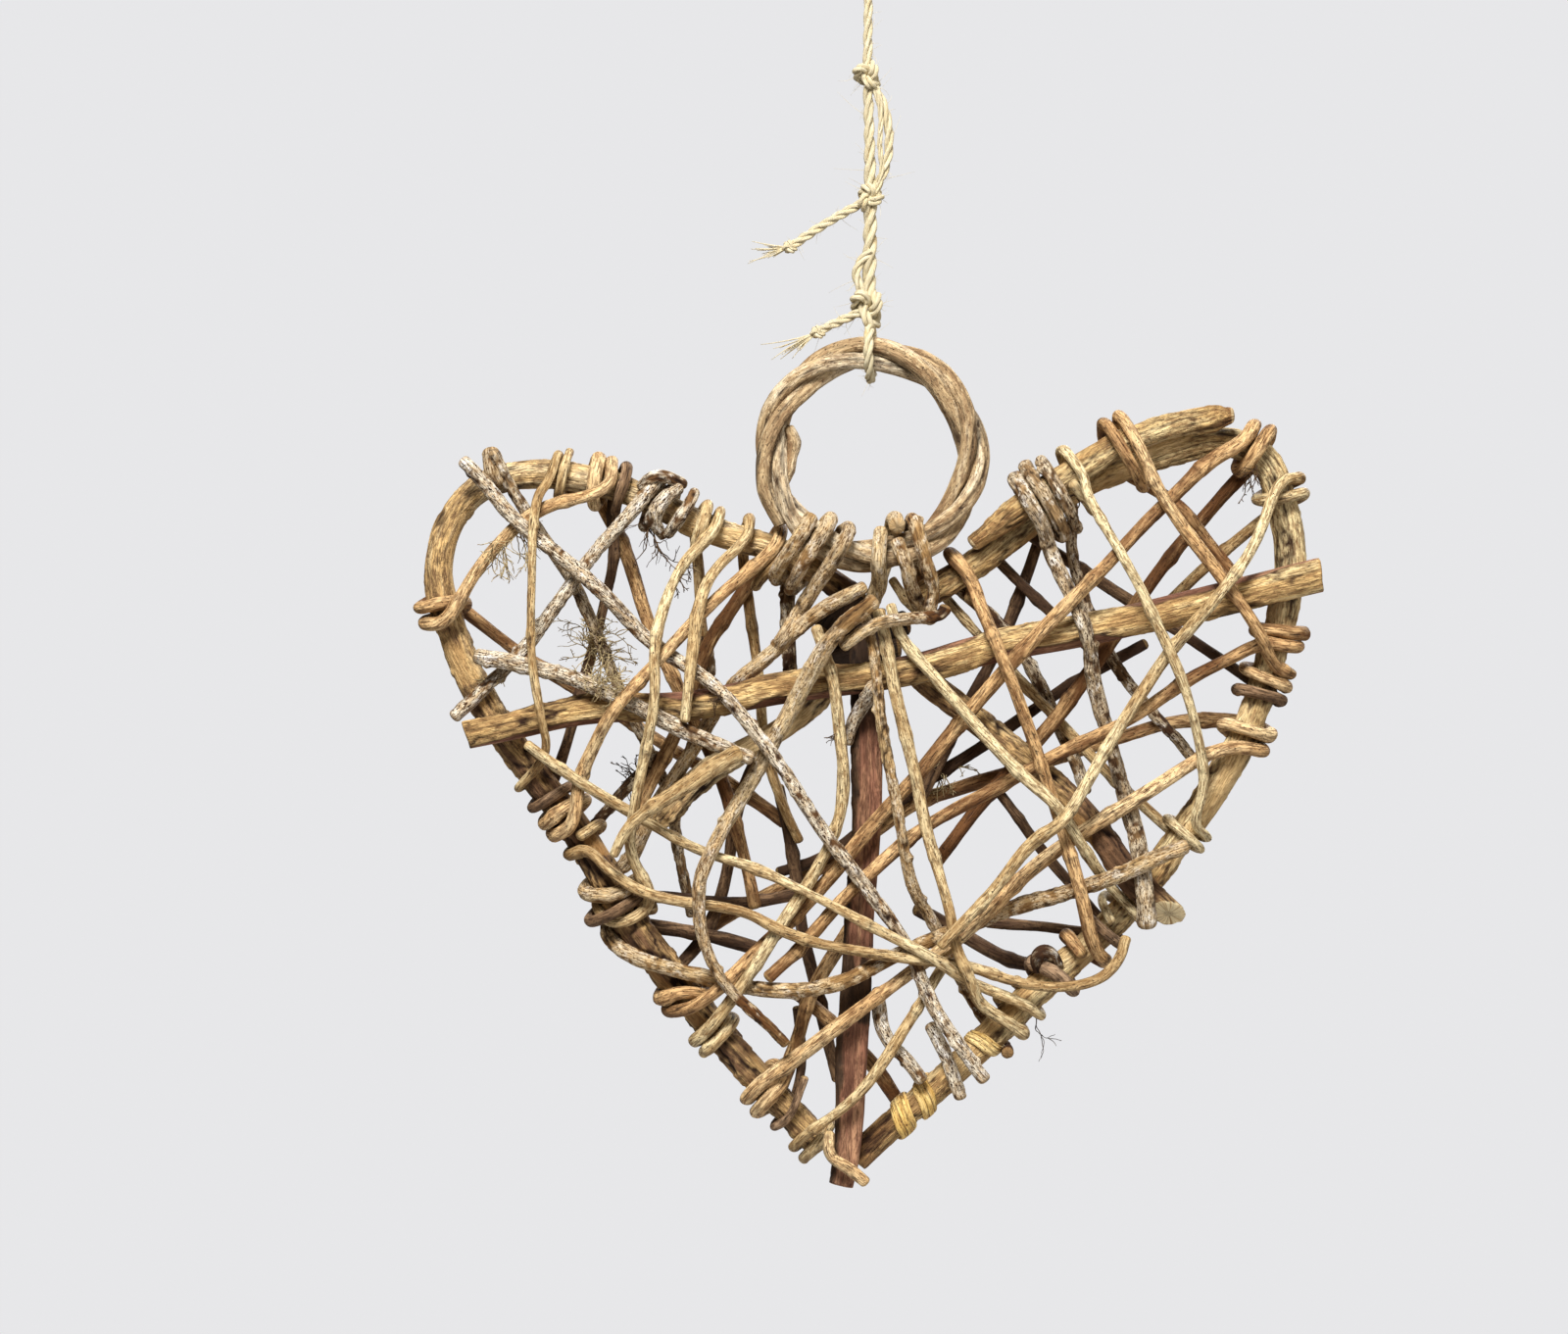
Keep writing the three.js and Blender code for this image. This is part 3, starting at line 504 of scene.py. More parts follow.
def ripple(rng, along, around, length, count):
    """Smooth random heights from -1 to 1, in cells so long along a stem and so many round it."""
    rows = int(along.max() / length) + 3
    heights = rng.uniform(-1, 1, (rows, count))
    u = along / length
    v = around / (2 * math.pi) * count
    i, j = np.floor(u).astype(int), np.floor(v).astype(int)
    f, g = u - i, v - j
    f, g = f * f * (3 - 2 * f), g * g * (3 - 2 * g)
    near = heights[i % rows, j % count] * (1 - g) + heights[i % rows, (j + 1) % count] * g
    far = heights[(i + 1) % rows, j % count] * (1 - g) + heights[(i + 1) % rows, (j + 1) % count] * g
    return near * (1 - f) + far * f


def crack(height, width):
    """One along the lines where a random height crosses zero, falling to nought beside them."""
    return np.clip(1 - np.abs(height) / width, 0, 1) ** 1.3


def ease(low, high, value):
    t = np.clip((value - low) / (high - low), 0, 1)
    return t * t * (3 - 2 * t)


# How far in and how far forward the rings of a rounded end are
DOME = ((0.97, 0.16), (0.84, 0.42), (0.58, 0.62), (0.24, 0.70))
SAW_LEAN = np.array((0.35, 0.1, 1.0))
GRAIN_SHIFT = 400


def capped(rings, marks, slope, dome):
    """The tube with its two ends closed: sawn flat and aslant, or worn round, and marked as cut."""
    for end, inward in ((0, 1), (-1, -1)):
        middle = rings[end].mean(0)
        edge = rings[end] - middle
        ahead = unit(middle - rings[end + inward].mean(0))
        lean = slope * (edge @ SAW_LEAN)[:, None] * ahead
        reach = dome * np.linalg.norm(edge, axis=1).mean()
        caps = [middle + (edge + lean) * share + ahead * forward * reach for share, forward in DOME]
        rings = np.concatenate([caps[::-1], rings] if end == 0 else [rings, caps])
        for key, value in marks.items():
            more = np.repeat(value[end][None], len(DOME), axis=0)
            more = np.full_like(more, 1 - 0.6 * dome) if key == "cut" else more
            marks[key] = np.concatenate([more, value] if end == 0 else [value, more])
    return rings, marks


def spotted(places, spots):
    """How strongly each place along a line, in millimetres, is marked by the spots near it."""
    strength_there = np.zeros(len(places))
    for x, z, reach, strength in spots:
        off = (places[:, 0] - x) ** 2 + (places[:, 2] - z) ** 2
        strength_there += strength * np.exp(-off / reach ** 2)
    return strength_there


def stem(name, line, girth, tone, relief, sides, step,
         spiral=0.0, wander=0.0, thin_ends=(0, 0), dome=0.2):
    """A stick or vine along a line: radii in millimetres and tones along it, and the relief of its bark."""
    rng = seeded(name)
    line, reach = spaced(line, step * MM)
    along = reach / MM
    flat = along[:, None]
    if wander:
        sway = np.stack([ripple(rng, along, 0 * along, 13, 1) for _ in range(3)], 1)
        hold = np.minimum(1, np.minimum(along, along[-1] - along) / 6)[:, None]
        line = line + wander * MM * sway * hold
    lines[name] = line
    around = np.linspace(0, 2 * math.pi, sides, endpoint=False)[None, :] + 0 * flat
    twisted = (around + spiral * flat) % (2 * math.pi)
    radius = along_stem(girth, along)[:, None] + 0 * around
    for distance, end in zip(thin_ends, (flat, flat[::-1])):
        if distance:
            radius = radius * (0.5 + 0.5 * ease(-0.3 * distance, distance, end))
    height, marks = relief(rng, flat + 0 * around, twisted, radius, line / MM)
    reach = np.maximum(radius + height, 0.25 * radius)
    shift = rng.uniform(0, GRAIN_SHIFT, 3)
    grain = np.stack([radius * np.cos(twisted), radius * np.sin(twisted), flat + 0 * around], -1) + shift
    shade = along_stem(tone, along)[:, None] + 0 * around
    marks = dict(marks, grain=grain, tone=shade, cut=np.zeros_like(radius))
    rings, _ = tube(line, reach * MM, sides)
    return capped(rings, marks, 0.25 * (1 - dome), dome)


def slanted(rings, facing):
    """The lower end of a stick cut aslant, so that the cut faces away from the given direction."""
    middles = rings.mean(1)
    ahead = unit(middles[-1] - middles[-9])
    share = ease(SLANT_REACH * MM, 0, (middles[-1] - middles) @ ahead)[:, None, None]
    return rings + share * ((rings - middles[:, None]) @ np.array(facing))[..., None] * ahead


def stick_relief(rng, along, around, radius, places):
    """Fibrous bark, in millimetres: cracks, lumps, ragged plates, and patches peeled down to the wood."""
    lumps = 0.20 * ripple(rng, along, around, 17, 3) + 0.15 * ripple(rng, along, around, 6, 5)
    deep = crack(ripple(rng, along, around, 14, 11) + 0.3 * ripple(rng, along, around, 3, 16), 0.20)
    fine = crack(ripple(rng, along, around, 7, 22), 0.18)
    plates = ripple(rng, along, around, 2.6, 13) + 0.6 * ripple(rng, along, around, 1.1, 21)
    ragged = ease(0.1, 0.5, plates)
    peeled = ease(0.25, 0.40, ripple(rng, along, around, 15, 4) + 0.4 * ripple(rng, along, around, 4, 9))
    barked = (1 - peeled) * (1 + spotted(places, ROUGH_SPOTS)[:, None])
    height = lumps + barked * (0.06 + 0.16 * ragged - 0.30 * deep - 0.14 * fine)
    height = height - peeled * (0.14 + 0.05 * fine)
    # The cracks, and the low bark between the ragged plates, are marked to be darkened: painted shade,
    # partly darker bark
    hollow = barked * (0.7 * deep + 0.35 * fine + 0.2 * (1 - ragged)) + 0.3 * peeled * fine
    return height, {"hollow": np.clip(hollow, 0, 1), "peeled": peeled}


# Bark colours: three tones along the stem, mottled and streaked with the grain, dark in the cracks; that
# dark is partly the bark's own colour and partly painted shade in cracks and furrows
barks, given, wanted = new_group(
    "bark_colours",
    {"Grain": "Vector", "Tone": "Float", "Hollow": "Float", "Light": "Color", "Middle": "Color",
     "Dark": "Color", "Crevice": "Color", "Mottle": "Float", "Fibre": "Float", "Specks": "Float",
     "Cracks": "Float"},
    {"Color": "Color", "Height": "Float"})


def reckon(tree, operation, *values):
    """One step of arithmetic on sockets or numbers."""
    return node(tree, "ShaderNodeMath", dict(enumerate(values)), operation=operation).outputs[0]


broad = streak(barks, given["Grain"], 3.5, 20.0, 0.34, 0.66)
share = reckon(barks, "ADD", reckon(barks, "MULTIPLY_ADD", broad, 0.6, -0.3), given["Tone"])
doubled = reckon(barks, "MULTIPLY", share, 2.0)
base = mixed(barks, doubled, given["Dark"], given["Middle"])
base = mixed(barks, reckon(barks, "SUBTRACT", doubled, 1.0), base, given["Light"])
fibres = streak(barks, given["Grain"], 0.45, 7.0, 0.38, 0.62)
for strength, target, *sizes in (("Mottle", "Dark", 0.8, 2.0, 0.46, 0.62),
                                 ("Fibre", "Dark", 0.26, 2.6, 0.50, 0.64),
                                 ("Specks", "Crevice", 0.34, 0.50, 0.60, 0.68),
                                 ("Cracks", "Crevice", 0.36, 4.5, 0.60, 0.67)):
    part = reckon(barks, "MULTIPLY", streak(barks, given["Grain"], *sizes), given[strength])
    base = mixed(barks, part, base, given[target])
    fibres = reckon(barks, "SUBTRACT", fibres, part)
# Cracks, furrows and other low places, as the mesh marks them, turn to the crevice colour: painted shade,
# partly the darker bark down in them
barks.links.new(mixed(barks, given["Hollow"], base, given["Crevice"]), wanted["Color"])
barks.links.new(fibres, wanted["Height"])


def bark(tree, colours, mottle, fibre, specks, cracks=0.5):
    """The colour and bump of one bark; its colours go from light to the bottom of its cracks, whose
    darkening is partly painted shade.
    """
    group = node(tree, "ShaderNodeGroup", node_tree=barks)
    tree.links.new(grain_of(tree), group.inputs["Grain"])
    tree.links.new(mark(tree, "hollow"), group.inputs["Hollow"])
    tree.links.new(mark(tree, "tone"), group.inputs["Tone"])
    for name, text in zip(("Light", "Middle", "Dark", "Crevice"), colours.split()):
        group.inputs[name].default_value = from_hex(text)
    for name, value in (("Mottle", mottle), ("Fibre", fibre), ("Specks", specks), ("Cracks", cracks)):
        group.inputs[name].default_value = value
    return group.outputs["Color"], group.outputs["Height"]


YEAR_RINGS = "a5804f"


def with_cut(tree, colour, wood):
    """The bark's colour, with bare wood on the cut ends."""
    rings = streak(tree, grain_of(tree), 0.35, 0.35, 0.4, 0.7)
    face = mixed(tree, rings, from_hex(wood), from_hex(YEAR_RINGS))
    return mixed(tree, mark(tree, "cut"), colour, face)


STICK_COLOURS = "f4deb0 dab479 6e5037 241107"
GOLDEN_COLOURS = "f0daa6 d1ae74 85603a 2b1407"
PEELED_COLOURS = "e6cb98 cfad77 9c7547 4e321a"
CUT_STICK = "f6e3b6"


def stick_material(name, colours, peeled_colours, cut_wood):
    material, tree = new_material(name)
    colour, height = bark(tree, colours, 0.65, 0.7, 0.6)
    bare, _ = bark(tree, peeled_colours, 0.4, 0.5, 0.3)
    colour = mixed(tree, mark(tree, "peeled"), colour, bare)
    return finish_material(material, with_cut(tree, colour, cut_wood), height, 0.00015, 0.8)


STICK_BARK = stick_material("stick_bark", STICK_COLOURS, PEELED_COLOURS, CUT_STICK)
GOLDEN_BARK = stick_material("golden_stick_bark", GOLDEN_COLOURS, PEELED_COLOURS, CUT_STICK)
for name, (girth, tone, thin_ends, dome) in STICKS.items():
    line = spaced(rounded(centreline(name, STICK_FACETS)), STICK_STEP * MM)[0]
    tone = along_stem(tone, np.arange(len(line))) - spotted(line / MM, STAINS)
    rings = stem(name, line, girth, tone, stick_relief, STICK_SIDES, STICK_STEP, spiral=0.012,
                 thin_ends=thin_ends, dome=dome)
    if name in SLANT_CUT:
        rings = (slanted(rings[0], SLANT_CUT[name]), rings[1])
    material = GOLDEN_BARK if name in GOLDEN_STICKS else STICK_BARK
    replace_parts(skin(name + "_bark", [rings], material), name)

# The cross stick: a stick split along one side, so that a band of bark winds over reddish bare wood. It
# lies over the front of the frame, tied by the vines, and sticks out past both edges.
CROSS_GIRTH = (3.9, 3.6, 3.6, 3.45, 3.35, 3.2)
CROSS_TONES = (0.7, 0.45, 0.45, 0.45, 0.4, 0.5)
# How many degrees the band of bark leans up, by how far across the heart it is
BAND_LEAN = {-80: 5, -62: 32, -52: 25, -42: -30, -33: -30, -22: 32, -12: 34, 3: 0, 8: -24, 18: -24, 27: 35,
             46: 34, 58: -25, 76: -22, 84: 0}
BAND_HALF_WIDTH = 65
BARE_COLOURS = "b98f6c 8c604a 5c3a2a 2e1910"


def half_barked_relief(rng, along, around, radius, places):
    """Bark as on the other sticks, in a band that leans up or down; beside it the wood is bare and lower."""
    height, marks = stick_relief(rng, along, around, radius, places)
    lean = np.radians(np.interp(places[:, 0], list(BAND_LEAN), list(BAND_LEAN.values())))[:, None]
    off = np.abs((around - lean + math.pi) % (2 * math.pi) - math.pi)
    edge = math.radians(BAND_HALF_WIDTH) + 0.25 * ripple(rng, along, around, 6, 4)
    bare = ease(edge - 0.05, edge + 0.10, off)
    grooves = ripple(rng, along, around, 12, 26)
    height = height * (1 - bare) + bare * (0.05 * grooves - 0.40)
    # A dark line along the band's edge, where the bark steps down to the bare wood: partly the bark's dark
    # cut edge, partly painted shade at the step
    lip = np.exp(-((off - edge) / 0.07) ** 2)
    marks["hollow"] = np.clip(marks["hollow"] * (1 - bare) + 0.8 * lip, 0, 1)
    return height, dict(marks, bare=bare)


def cross_stick_material():
    material, tree = new_material("cross_stick_bark")
    colour, height = bark(tree, GOLDEN_COLOURS, 0.6, 0.7, 0.5)
    wood, _ = bark(tree, BARE_COLOURS, 0.3, 0.7, 0.1)
    colour = mixed(tree, mark(tree, "bare"), colour, wood)
    return finish_material(material, with_cut(tree, colour, "b8945f"), height, 0.00015, 0.8)


rings = stem("cross_stick", rounded(centreline("cross_stick", STICK_FACETS)), CROSS_GIRTH, CROSS_TONES,
             half_barked_relief, STICK_SIDES, STICK_STEP)
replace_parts(skin("cross_stick_bark", [rings], cross_stick_material()), "cross_stick")

# The stake: a stick split down its length, with a flat reddish face to the front, rough dark bark left on
# one edge and all round its top. It stands behind the cross stick and comes out below the heart's tip.
STAKE_HALF_WIDTH = (3.6, 3.4, 3.2, 3.0, 3.0, 3.2, 3.3, 3.1, 2.5)
STAKE_TONES = (0.2, 0.3, 0.5, 0.6, 0.35, 0.5, 0.6)
STAKE_HALF_DEPTH = 2.0
SPLIT_DEPTH = 1.3
STAKE_RISE = 5.5
BARE_FROM = (-151, -158)
BARK_PATCH = (-211.5, 7.0)
FLANK = 9 * MM


def split_relief(rng, along, around, radius, places):
    """An oval stick with a flat split face to the front, and bark on its left, behind and at the top."""
    deep, wide = np.cos(around), np.sin(around)
    oval = 1 / np.sqrt((deep / STAKE_HALF_DEPTH) ** 2 + (wide / radius) ** 2)
    face = np.where(deep > 0.05, SPLIT_DEPTH / np.maximum(deep, 0.05), 9)
    face = face + 0.05 * ripple(rng, along, around, 16, 30) + 0.10 * ripple(rng, along, around, 11, 5)
    left = (around + 0.15 * ripple(rng, along, around, 4, 5)) % (2 * math.pi)
    high = ease(BARE_FROM[1], BARE_FROM[0], places[:, 2:3] + 2 * ripple(rng, along, around, 4, 6))
    off = (places[:, 2:3] - BARK_PATCH[0]) / BARK_PATCH[1] + 0.5 * ripple(rng, along, around, 3, 9)
    patch = 1 - ease(0.7, 0.9, np.abs(off))
    barked = np.maximum(ease(0.85, 1.0, left) * (1 - ease(4.3, 4.5, left)), np.maximum(high, patch))
    height, marks = stick_relief(rng, along, around, radius, places)
    shape = np.where(high > 0.5, oval, np.minimum(face, oval)) + 0.1 * ripple(rng, along, around, 8, 6)
    grooves = crack(ripple(rng, along, around, 18, 22), 0.13)
    # The bark's cracks, and the grooves in the bare split face, are darkened: painted shade, partly the dark
    # bark itself
    hollow = barked * np.clip(marks["hollow"] + 0.3, 0, 1) + 0.5 * (1 - barked) * grooves
    height = shape - radius + barked * 0.8 * height - 0.06 * (1 - barked) * grooves
    return height, {"hollow": np.clip(hollow, 0, 1), "bare": 1 - barked}


def split_material():
    material, tree = new_material("split_wood")
    colour, height = bark(tree, "7d5f43 5d442e 3d2a1b 1e120a", 0.6, 0.6, 0.5)
    wood, _ = bark(tree, BARE_COLOURS, 0.6, 0.8, 0.2)
    colour = mixed(tree, mark(tree, "bare"), colour, wood)
    return finish_material(material, with_cut(tree, colour, "8a6048"), height, 0.0001, 0.7)


line = rounded(centreline("stake", STICK_FACETS), FLANK)
line = np.concatenate([[line[0] + (0, 0, STAKE_RISE * MM)], line])
rings = stem("stake", line, STAKE_HALF_WIDTH, STAKE_TONES, split_relief, STICK_SIDES, STICK_STEP)
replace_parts(skin("stake_wood", [rings], split_material()), "stake")

# The ring: one ridged grey-brown vine coiled three times, its strands twisted loosely round each other and
# its ends tucked in. The heart hangs from it.
VINE_FACETS = 5
RING_SIDES = 24
RING_STEP = 0.45
RING_GIRTH = (1.78, 1.72, 1.8, 1.74, 1.8)
RING_TONES = (0.55, 0.4, 0.6, 0.5, 0.65, 0.45)


def ring_relief(rng, along, around, radius, places):
    """Long rounded ridges with furrows between them, darkened: painted shade between the strands, with some
    darker bark in the fine cracks.
    """
    ridges = ripple(rng, along, around, 40, 6)
    furrow = crack(ridges + 0.2 * ripple(rng, along, around, 5, 9), 0.22)
    fine = crack(ripple(rng, along, around, 6, 14), 0.16)
    lumps = 0.09 * ripple(rng, along, around, 11, 3) + 0.07 * ripple(rng, along, around, 3, 6)
    height = lumps + 0.11 * ridges - 0.24 * furrow - 0.08 * fine
    return height, {"hollow": np.clip(0.85 * furrow + 0.5 * fine, 0, 1)}


def ring_material():
    material, tree = new_material("ring_bark")
    colour, height = bark(tree, "efe1c4 c0a67e 755638 29170b", 0.6, 0.5, 0.85, 0.45)
    pale = streak(tree, grain_of(tree), 0.5, 1.6, 0.60, 0.70)
    colour = mixed(tree, pale, colour, from_hex("c6b08a"))
    return finish_material(material, with_cut(tree, colour, "a98a5e"), height, 0.00012, 0.75)


RING_BARK = ring_material()
rings = stem("ring", rounded(centreline("ring", VINE_FACETS)), RING_GIRTH, RING_TONES, ring_relief,
             RING_SIDES, RING_STEP)
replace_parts(skin("ring_coil", [rings], RING_BARK), "ring")

# The golden, tan and dark vines: thin shoots with a small swelling wherever a leaf grew, wound from side to
# side and turned round the frame. What runs behind the frame is darkened: painted shade, and partly older,
# darker bark.
SHOOT_SIDES = 18
SHOOT_STEP = 0.5
WORN_ROUND = 0.9
FULLNESS = 1.05
# How deep behind the frame, in millimetres, a vine's tone starts and stops falling, and how far it falls:
# painted shade, partly older bark
BEHIND = (4.0, 11.0)
BEHIND_SHADE = 0.4
TONE_STEP = 2
SHOOT_TONES = {
    "front_vine_01": 0.5, "front_vine_02": 0.8, "front_vine_03": 0.5, "front_vine_04": 0.8,
    "front_vine_05": 0.8, "front_vine_06": 0.7, "front_vine_07": (0.7, 0.45, 0.8, 0.6),
    "front_vine_08": 0.4, "front_vine_10": 1.0, "front_vine_11": 0.7, "front_vine_12": 0.75,
    "front_vine_14": 0.55, "front_vine_15": 1.1, "front_vine_16": 0.3, "back_vine_07": 0.2,
    "front_vine_17": 0.3, "front_vine_18": 0.8, "front_vine_19": (0.4, 0.4, 0.6, 0.8), "tip_tie": 0.9,
}
LIT_TONE = 0.55
SHADED_TONE = 0.6
EVEN_GIRTH = (1.0, 1.03, 0.97, 1.02, 0.96)
SHOOT_GIRTH = {"front_vine_15": (0.8, 0.85, 0.82, 0.78, 0.66), "front_vine_19": (1.0, 1.05, 0.95, 0.75, 0.6)}
# The lowest and highest points, in millimetres, of the vines that are drawn in part
KEPT_HEIGHTS = {"back_vine_11": (-234.4, 0), "lichen_vine_08": (-229.5, 0), "grey_vine_02": (-999, -132.2),
                "front_vine_19": (-999, -160.8)}


def shoot_relief(rng, along, around, radius, places):
    """A thin shoot: not quite round, ridged along, with a swelling and a scar at each place a leaf grew."""
    oval = 0.07 * np.cos(2 * (around + 2 * ripple(rng, along, 0 * around, 21, 1)))
    height = radius * (oval + 0.07 * ripple(rng, along, around, 8, 3))
    height = height + 0.05 * ripple(rng, along, around, 22, 7) + 0.03 * ripple(rng, along, around, 1.5, 8)
    fine = crack(ripple(rng, along, around, 5, 14), 0.14)
    # Fine cracks and each dented leaf scar are marked to be darkened: painted shade in them, partly the
    # scar's own darker colour
    hollow = 0.45 * fine
    at = rng.uniform(4, 22)
    while at < along.max() - 3:
        facing = rng.uniform(0, 2 * math.pi)
        off = along - at
        lean = 0.5 + 0.5 * np.cos(around - facing)
        height = height + radius * np.exp(-(off / 1.5) ** 2) * (0.08 + 0.20 * lean)
        scar = np.exp(-((off - 0.9) / 0.30) ** 2)
        height = height - 0.07 * scar
        hollow = hollow + 0.6 * scar * lean
        at += rng.uniform(17, 34)
    return height - 0.05 * fine, {"hollow": np.clip(hollow, 0, 1)}


def shoot_material(name, colours, roughness):
    material, tree = new_material(name)
    colour, height = bark(tree, colours, 0.6, 0.8, 0.95, 0.85)
    return finish_material(material, with_cut(tree, colour, "b99b68"), height, 0.00009, roughness)


SHOOT_BARKS = {
    "golden_bark": shoot_material("golden_bark", "e2d0a4 c1a576 78552a 2c1506", 0.65),
    "tan_bark": shoot_material("tan_bark", "e8cc9c cda673 674221 220e04", 0.7),
    "dark_bark": shoot_material("dark_bark", "b5987a 82664a 432e1e 190c05", 0.8),
}


def vine_line(name):
    """The middle of a vine, without the ends that are stripped and slit or hidden."""
    line = rounded(centreline(name, VINE_FACETS), FLANK)
    low, high = KEPT_HEIGHTS.get(name, (-999, 999))
    return line[(line[:, 2] > low * MM) & (line[:, 2] < high * MM)]


def vine_radius(name):
    """Half the thickness of a plain tube of the frame."""
    solid = welded(name)
    shortest = min(edge.calc_length() for edge in solid.edges)
    solid.free()
    return FULLNESS * shortest / (2 * math.sin(math.pi / VINE_FACETS)) / MM


def tones_shaded_behind(line, tones):
    """Tones along a vine, darker wherever it runs behind the frame: painted shade there, partly older bark.
    """
    even = spaced(line, TONE_STEP * MM)[0]
    lit = along_stem(tones, np.linspace(0, 1, len(even)))
    return lit - BEHIND_SHADE * ease(*BEHIND, even[:, 1] / MM)


for name, slot in slot_of.items():
    if slot in SHOOT_BARKS:
        girth = vine_radius(name) * np.array(SHOOT_GIRTH.get(name, EVEN_GIRTH))
        line = vine_line(name)
        usual = SHADED_TONE if slot == "dark_bark" else LIT_TONE
        tones = tones_shaded_behind(line, SHOOT_TONES.get(name, usual))
        rings = stem(name, line, girth, tones, shoot_relief, SHOOT_SIDES, SHOOT_STEP,
                     spiral=0.03, wander=0.22, dome=WORN_ROUND)
        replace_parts(skin(name + "_shoot", [rings], SHOOT_BARKS[slot]), name)

# The lichen-covered vines: dark shoots whose flaking bark is crusted with pale grey lichen, and younger
# speckled ones, which also tie the ring to the notch. They are wound and knotted like the others.
SPECKLED = ("grey_vine", "ring_tie", "lichen_vine_09", "lichen_vine_10")
WEATHERED = ("lichen_vine_05", "lichen_vine_06", "lichen_vine_07", "lichen_vine_03")
CRUST_SIDES = 22
CRUST_STEP = 0.42
USUAL_COVER = 0.45
USUAL_TONE = 0.5
PLAIN_GIRTH = (0.9, 0.95, 0.87, 0.92, 0.85)
CRUST_COVER = {
    "lichen_vine_01": (-0.6, -0.4, 0.5, 0.3, 0.3), "lichen_vine_03": (0.4, 0.1),
    "lichen_vine_05": (0.1, 0.1, 0.5, 0.4, 0.8), "lichen_vine_06": (-0.1, 0.2),
    "lichen_vine_07": (-0.7, -0.5, 0.2, 0.1), "lichen_vine_10": (0.1, 0.1, 0.1, 0.1, -1.0),
    "lichen_vine_02": (0.6, 0.6, 0.5, 0.5, 0.3, 0.05, 0.4, 1.0), "ring_tie_left": (0.3, 0.4, 0.7),
    "ring_tie_right": 0.0, "ring_tie_middle": 1.0, "lichen_vine_11": 0.9,
    "lichen_vine_09": (0.7, 0.7, 0.4), "grey_vine_02": (-0.7, 0.1, 0.5, 0.8, 0.9),
    "grey_vine_01": (0.3, 0.0, -0.2, -0.2, 0.0, 0.3),
    "grey_vine_03": (-0.6, -0.4, 0.5) + (1.2,) * 9 + (0.5,) * 5 + (-0.2, -0.9, -1.0, -1.0),
}
CRUST_GIRTH = {
    "grey_vine_03": (0.88, 0.92, 0.8, 0.66, 0.6, 0.56), "grey_vine_01": (0.85, 0.9, 0.82, 0.82, 0.85),
    "grey_vine_02": (0.8, 0.72, 0.7, 0.72, 0.7), "lichen_vine_10": (0.75, 0.8, 0.8, 0.85, 0.9),
    "lichen_vine_05": (0.95, 1.0, 1.0, 1.0, 1.35), "ring_tie_left": (0.78, 0.8, 0.76, 0.8, 0.84),
    "ring_tie_right": (0.8, 0.84, 0.8),
}
CRUST_TONES = {
    "grey_vine_03": (0.3, 0.3, 0.5) + (0.85,) * 9 + (0.45,) * 5 + (0.2, 0.0, 0.0, 0.0),
    "grey_vine_01": (0.5, 0.4, 0.35, 0.4, 0.5), "grey_vine_02": (0.0, 0.3, 0.6, 0.8, 0.8),
    "lichen_vine_05": (0.95, 0.7, 0.4, 0.4, 0.5), "lichen_vine_06": (0.8, 0.3, 0.3),
    "lichen_vine_10": (0.5, 0.55, 0.55, 0.45, -0.1), "ring_tie_right": (0.4, 0.3),
    "ring_tie_middle": 0.9, "lichen_vine_07": (0.2, 0.3),
}
CRUST_PITS = "301a09"


def crust_relief(rng, along, around, radius, places, cover):
    """Pale crust in fine flakes over dark bark, split along the grain, with small spurs."""
    patches = 0.8 * ripple(rng, along, around, 5, 3) + 0.9 * ripple(rng, along, around, 1.8, 6)
    patches = patches + 0.8 * ripple(rng, along, around, 0.8, 11) + along_stem(cover, along[:, 0])[:, None]
    crust = ease(-0.45, -0.05, patches)
    lumps = 0.10 * radius * ripple(rng, along, around, 7, 3) + 0.09 * ripple(rng, along, around, 2.0, 6)
    split = crack(ripple(rng, along, around, 10, 7) + 0.3 * ripple(rng, along, around, 1.6, 10), 0.22)
    height = lumps + 0.14 * crust - 0.16 * split
    at = rng.uniform(2, 9)
    while at < along.max() - 2:
        facing = rng.uniform(0, 2 * math.pi)
        turn = (around - facing + math.pi) % (2 * math.pi) - math.pi
        height = height + rng.uniform(0.2, 0.7) * np.exp(-((along - at) / 0.7) ** 2 - (turn / 0.5) ** 2)
        at += rng.uniform(4, 13)
    # The splits are darkened as painted shade; the bark showing between the crust is the bark's own darker
    # colour
    hollow = np.clip(0.85 * split + 0.25 * (1 - crust), 0, 1)
    return height, {"hollow": hollow, "crust": crust * (1 - 0.85 * split)}


def crust_material(name, colours, crusts, strength):
    """Bark under lichen: the crust is beige, white in patches, with dark dashes and pits in it."""
    material, tree = new_material(name)
    grain = grain_of(tree)
    under, height = bark(tree, colours, 0.5, 0.6, 0.6)
    beige, pale, white = [from_hex(text) for text in crusts.split()]
    crust = mixed(tree, streak(tree, grain, 0.8, 2.0, 0.36, 0.62), beige, pale)
    crust = mixed(tree, streak(tree, grain, 1.6, 3.5, 0.55, 0.66), crust, white)
    for sizes in ((0.26, 1.3, 0.53, 0.61), (0.3, 0.45, 0.55, 0.63)):
        crust = mixed(tree, streak(tree, grain, *sizes), crust, from_hex(CRUST_PITS))
    colour = mixed(tree, reckon(tree, "MULTIPLY", mark(tree, "crust"), strength), under, crust)
    return finish_material(material, with_cut(tree, colour, "a98c62"), height, 0.00014, 0.95)


CRUSTED = crust_material("lichen_bark", "a8865c 7d5a36 482c15 200f05", "bda685 e1d6c0 f4efe6", 0.92)
WEATHERED_BARK = crust_material("weathered_bark", "b8976a 80623f 492f1b 22130a",
                                "af9876 d2c3a8 ebe4d7", 0.85)
SPECKLED_BARK = crust_material("speckled_bark", "dcc08e b08b59 674220 241206",
                               "c7ad84 dfcfae efe7d6", 0.6)


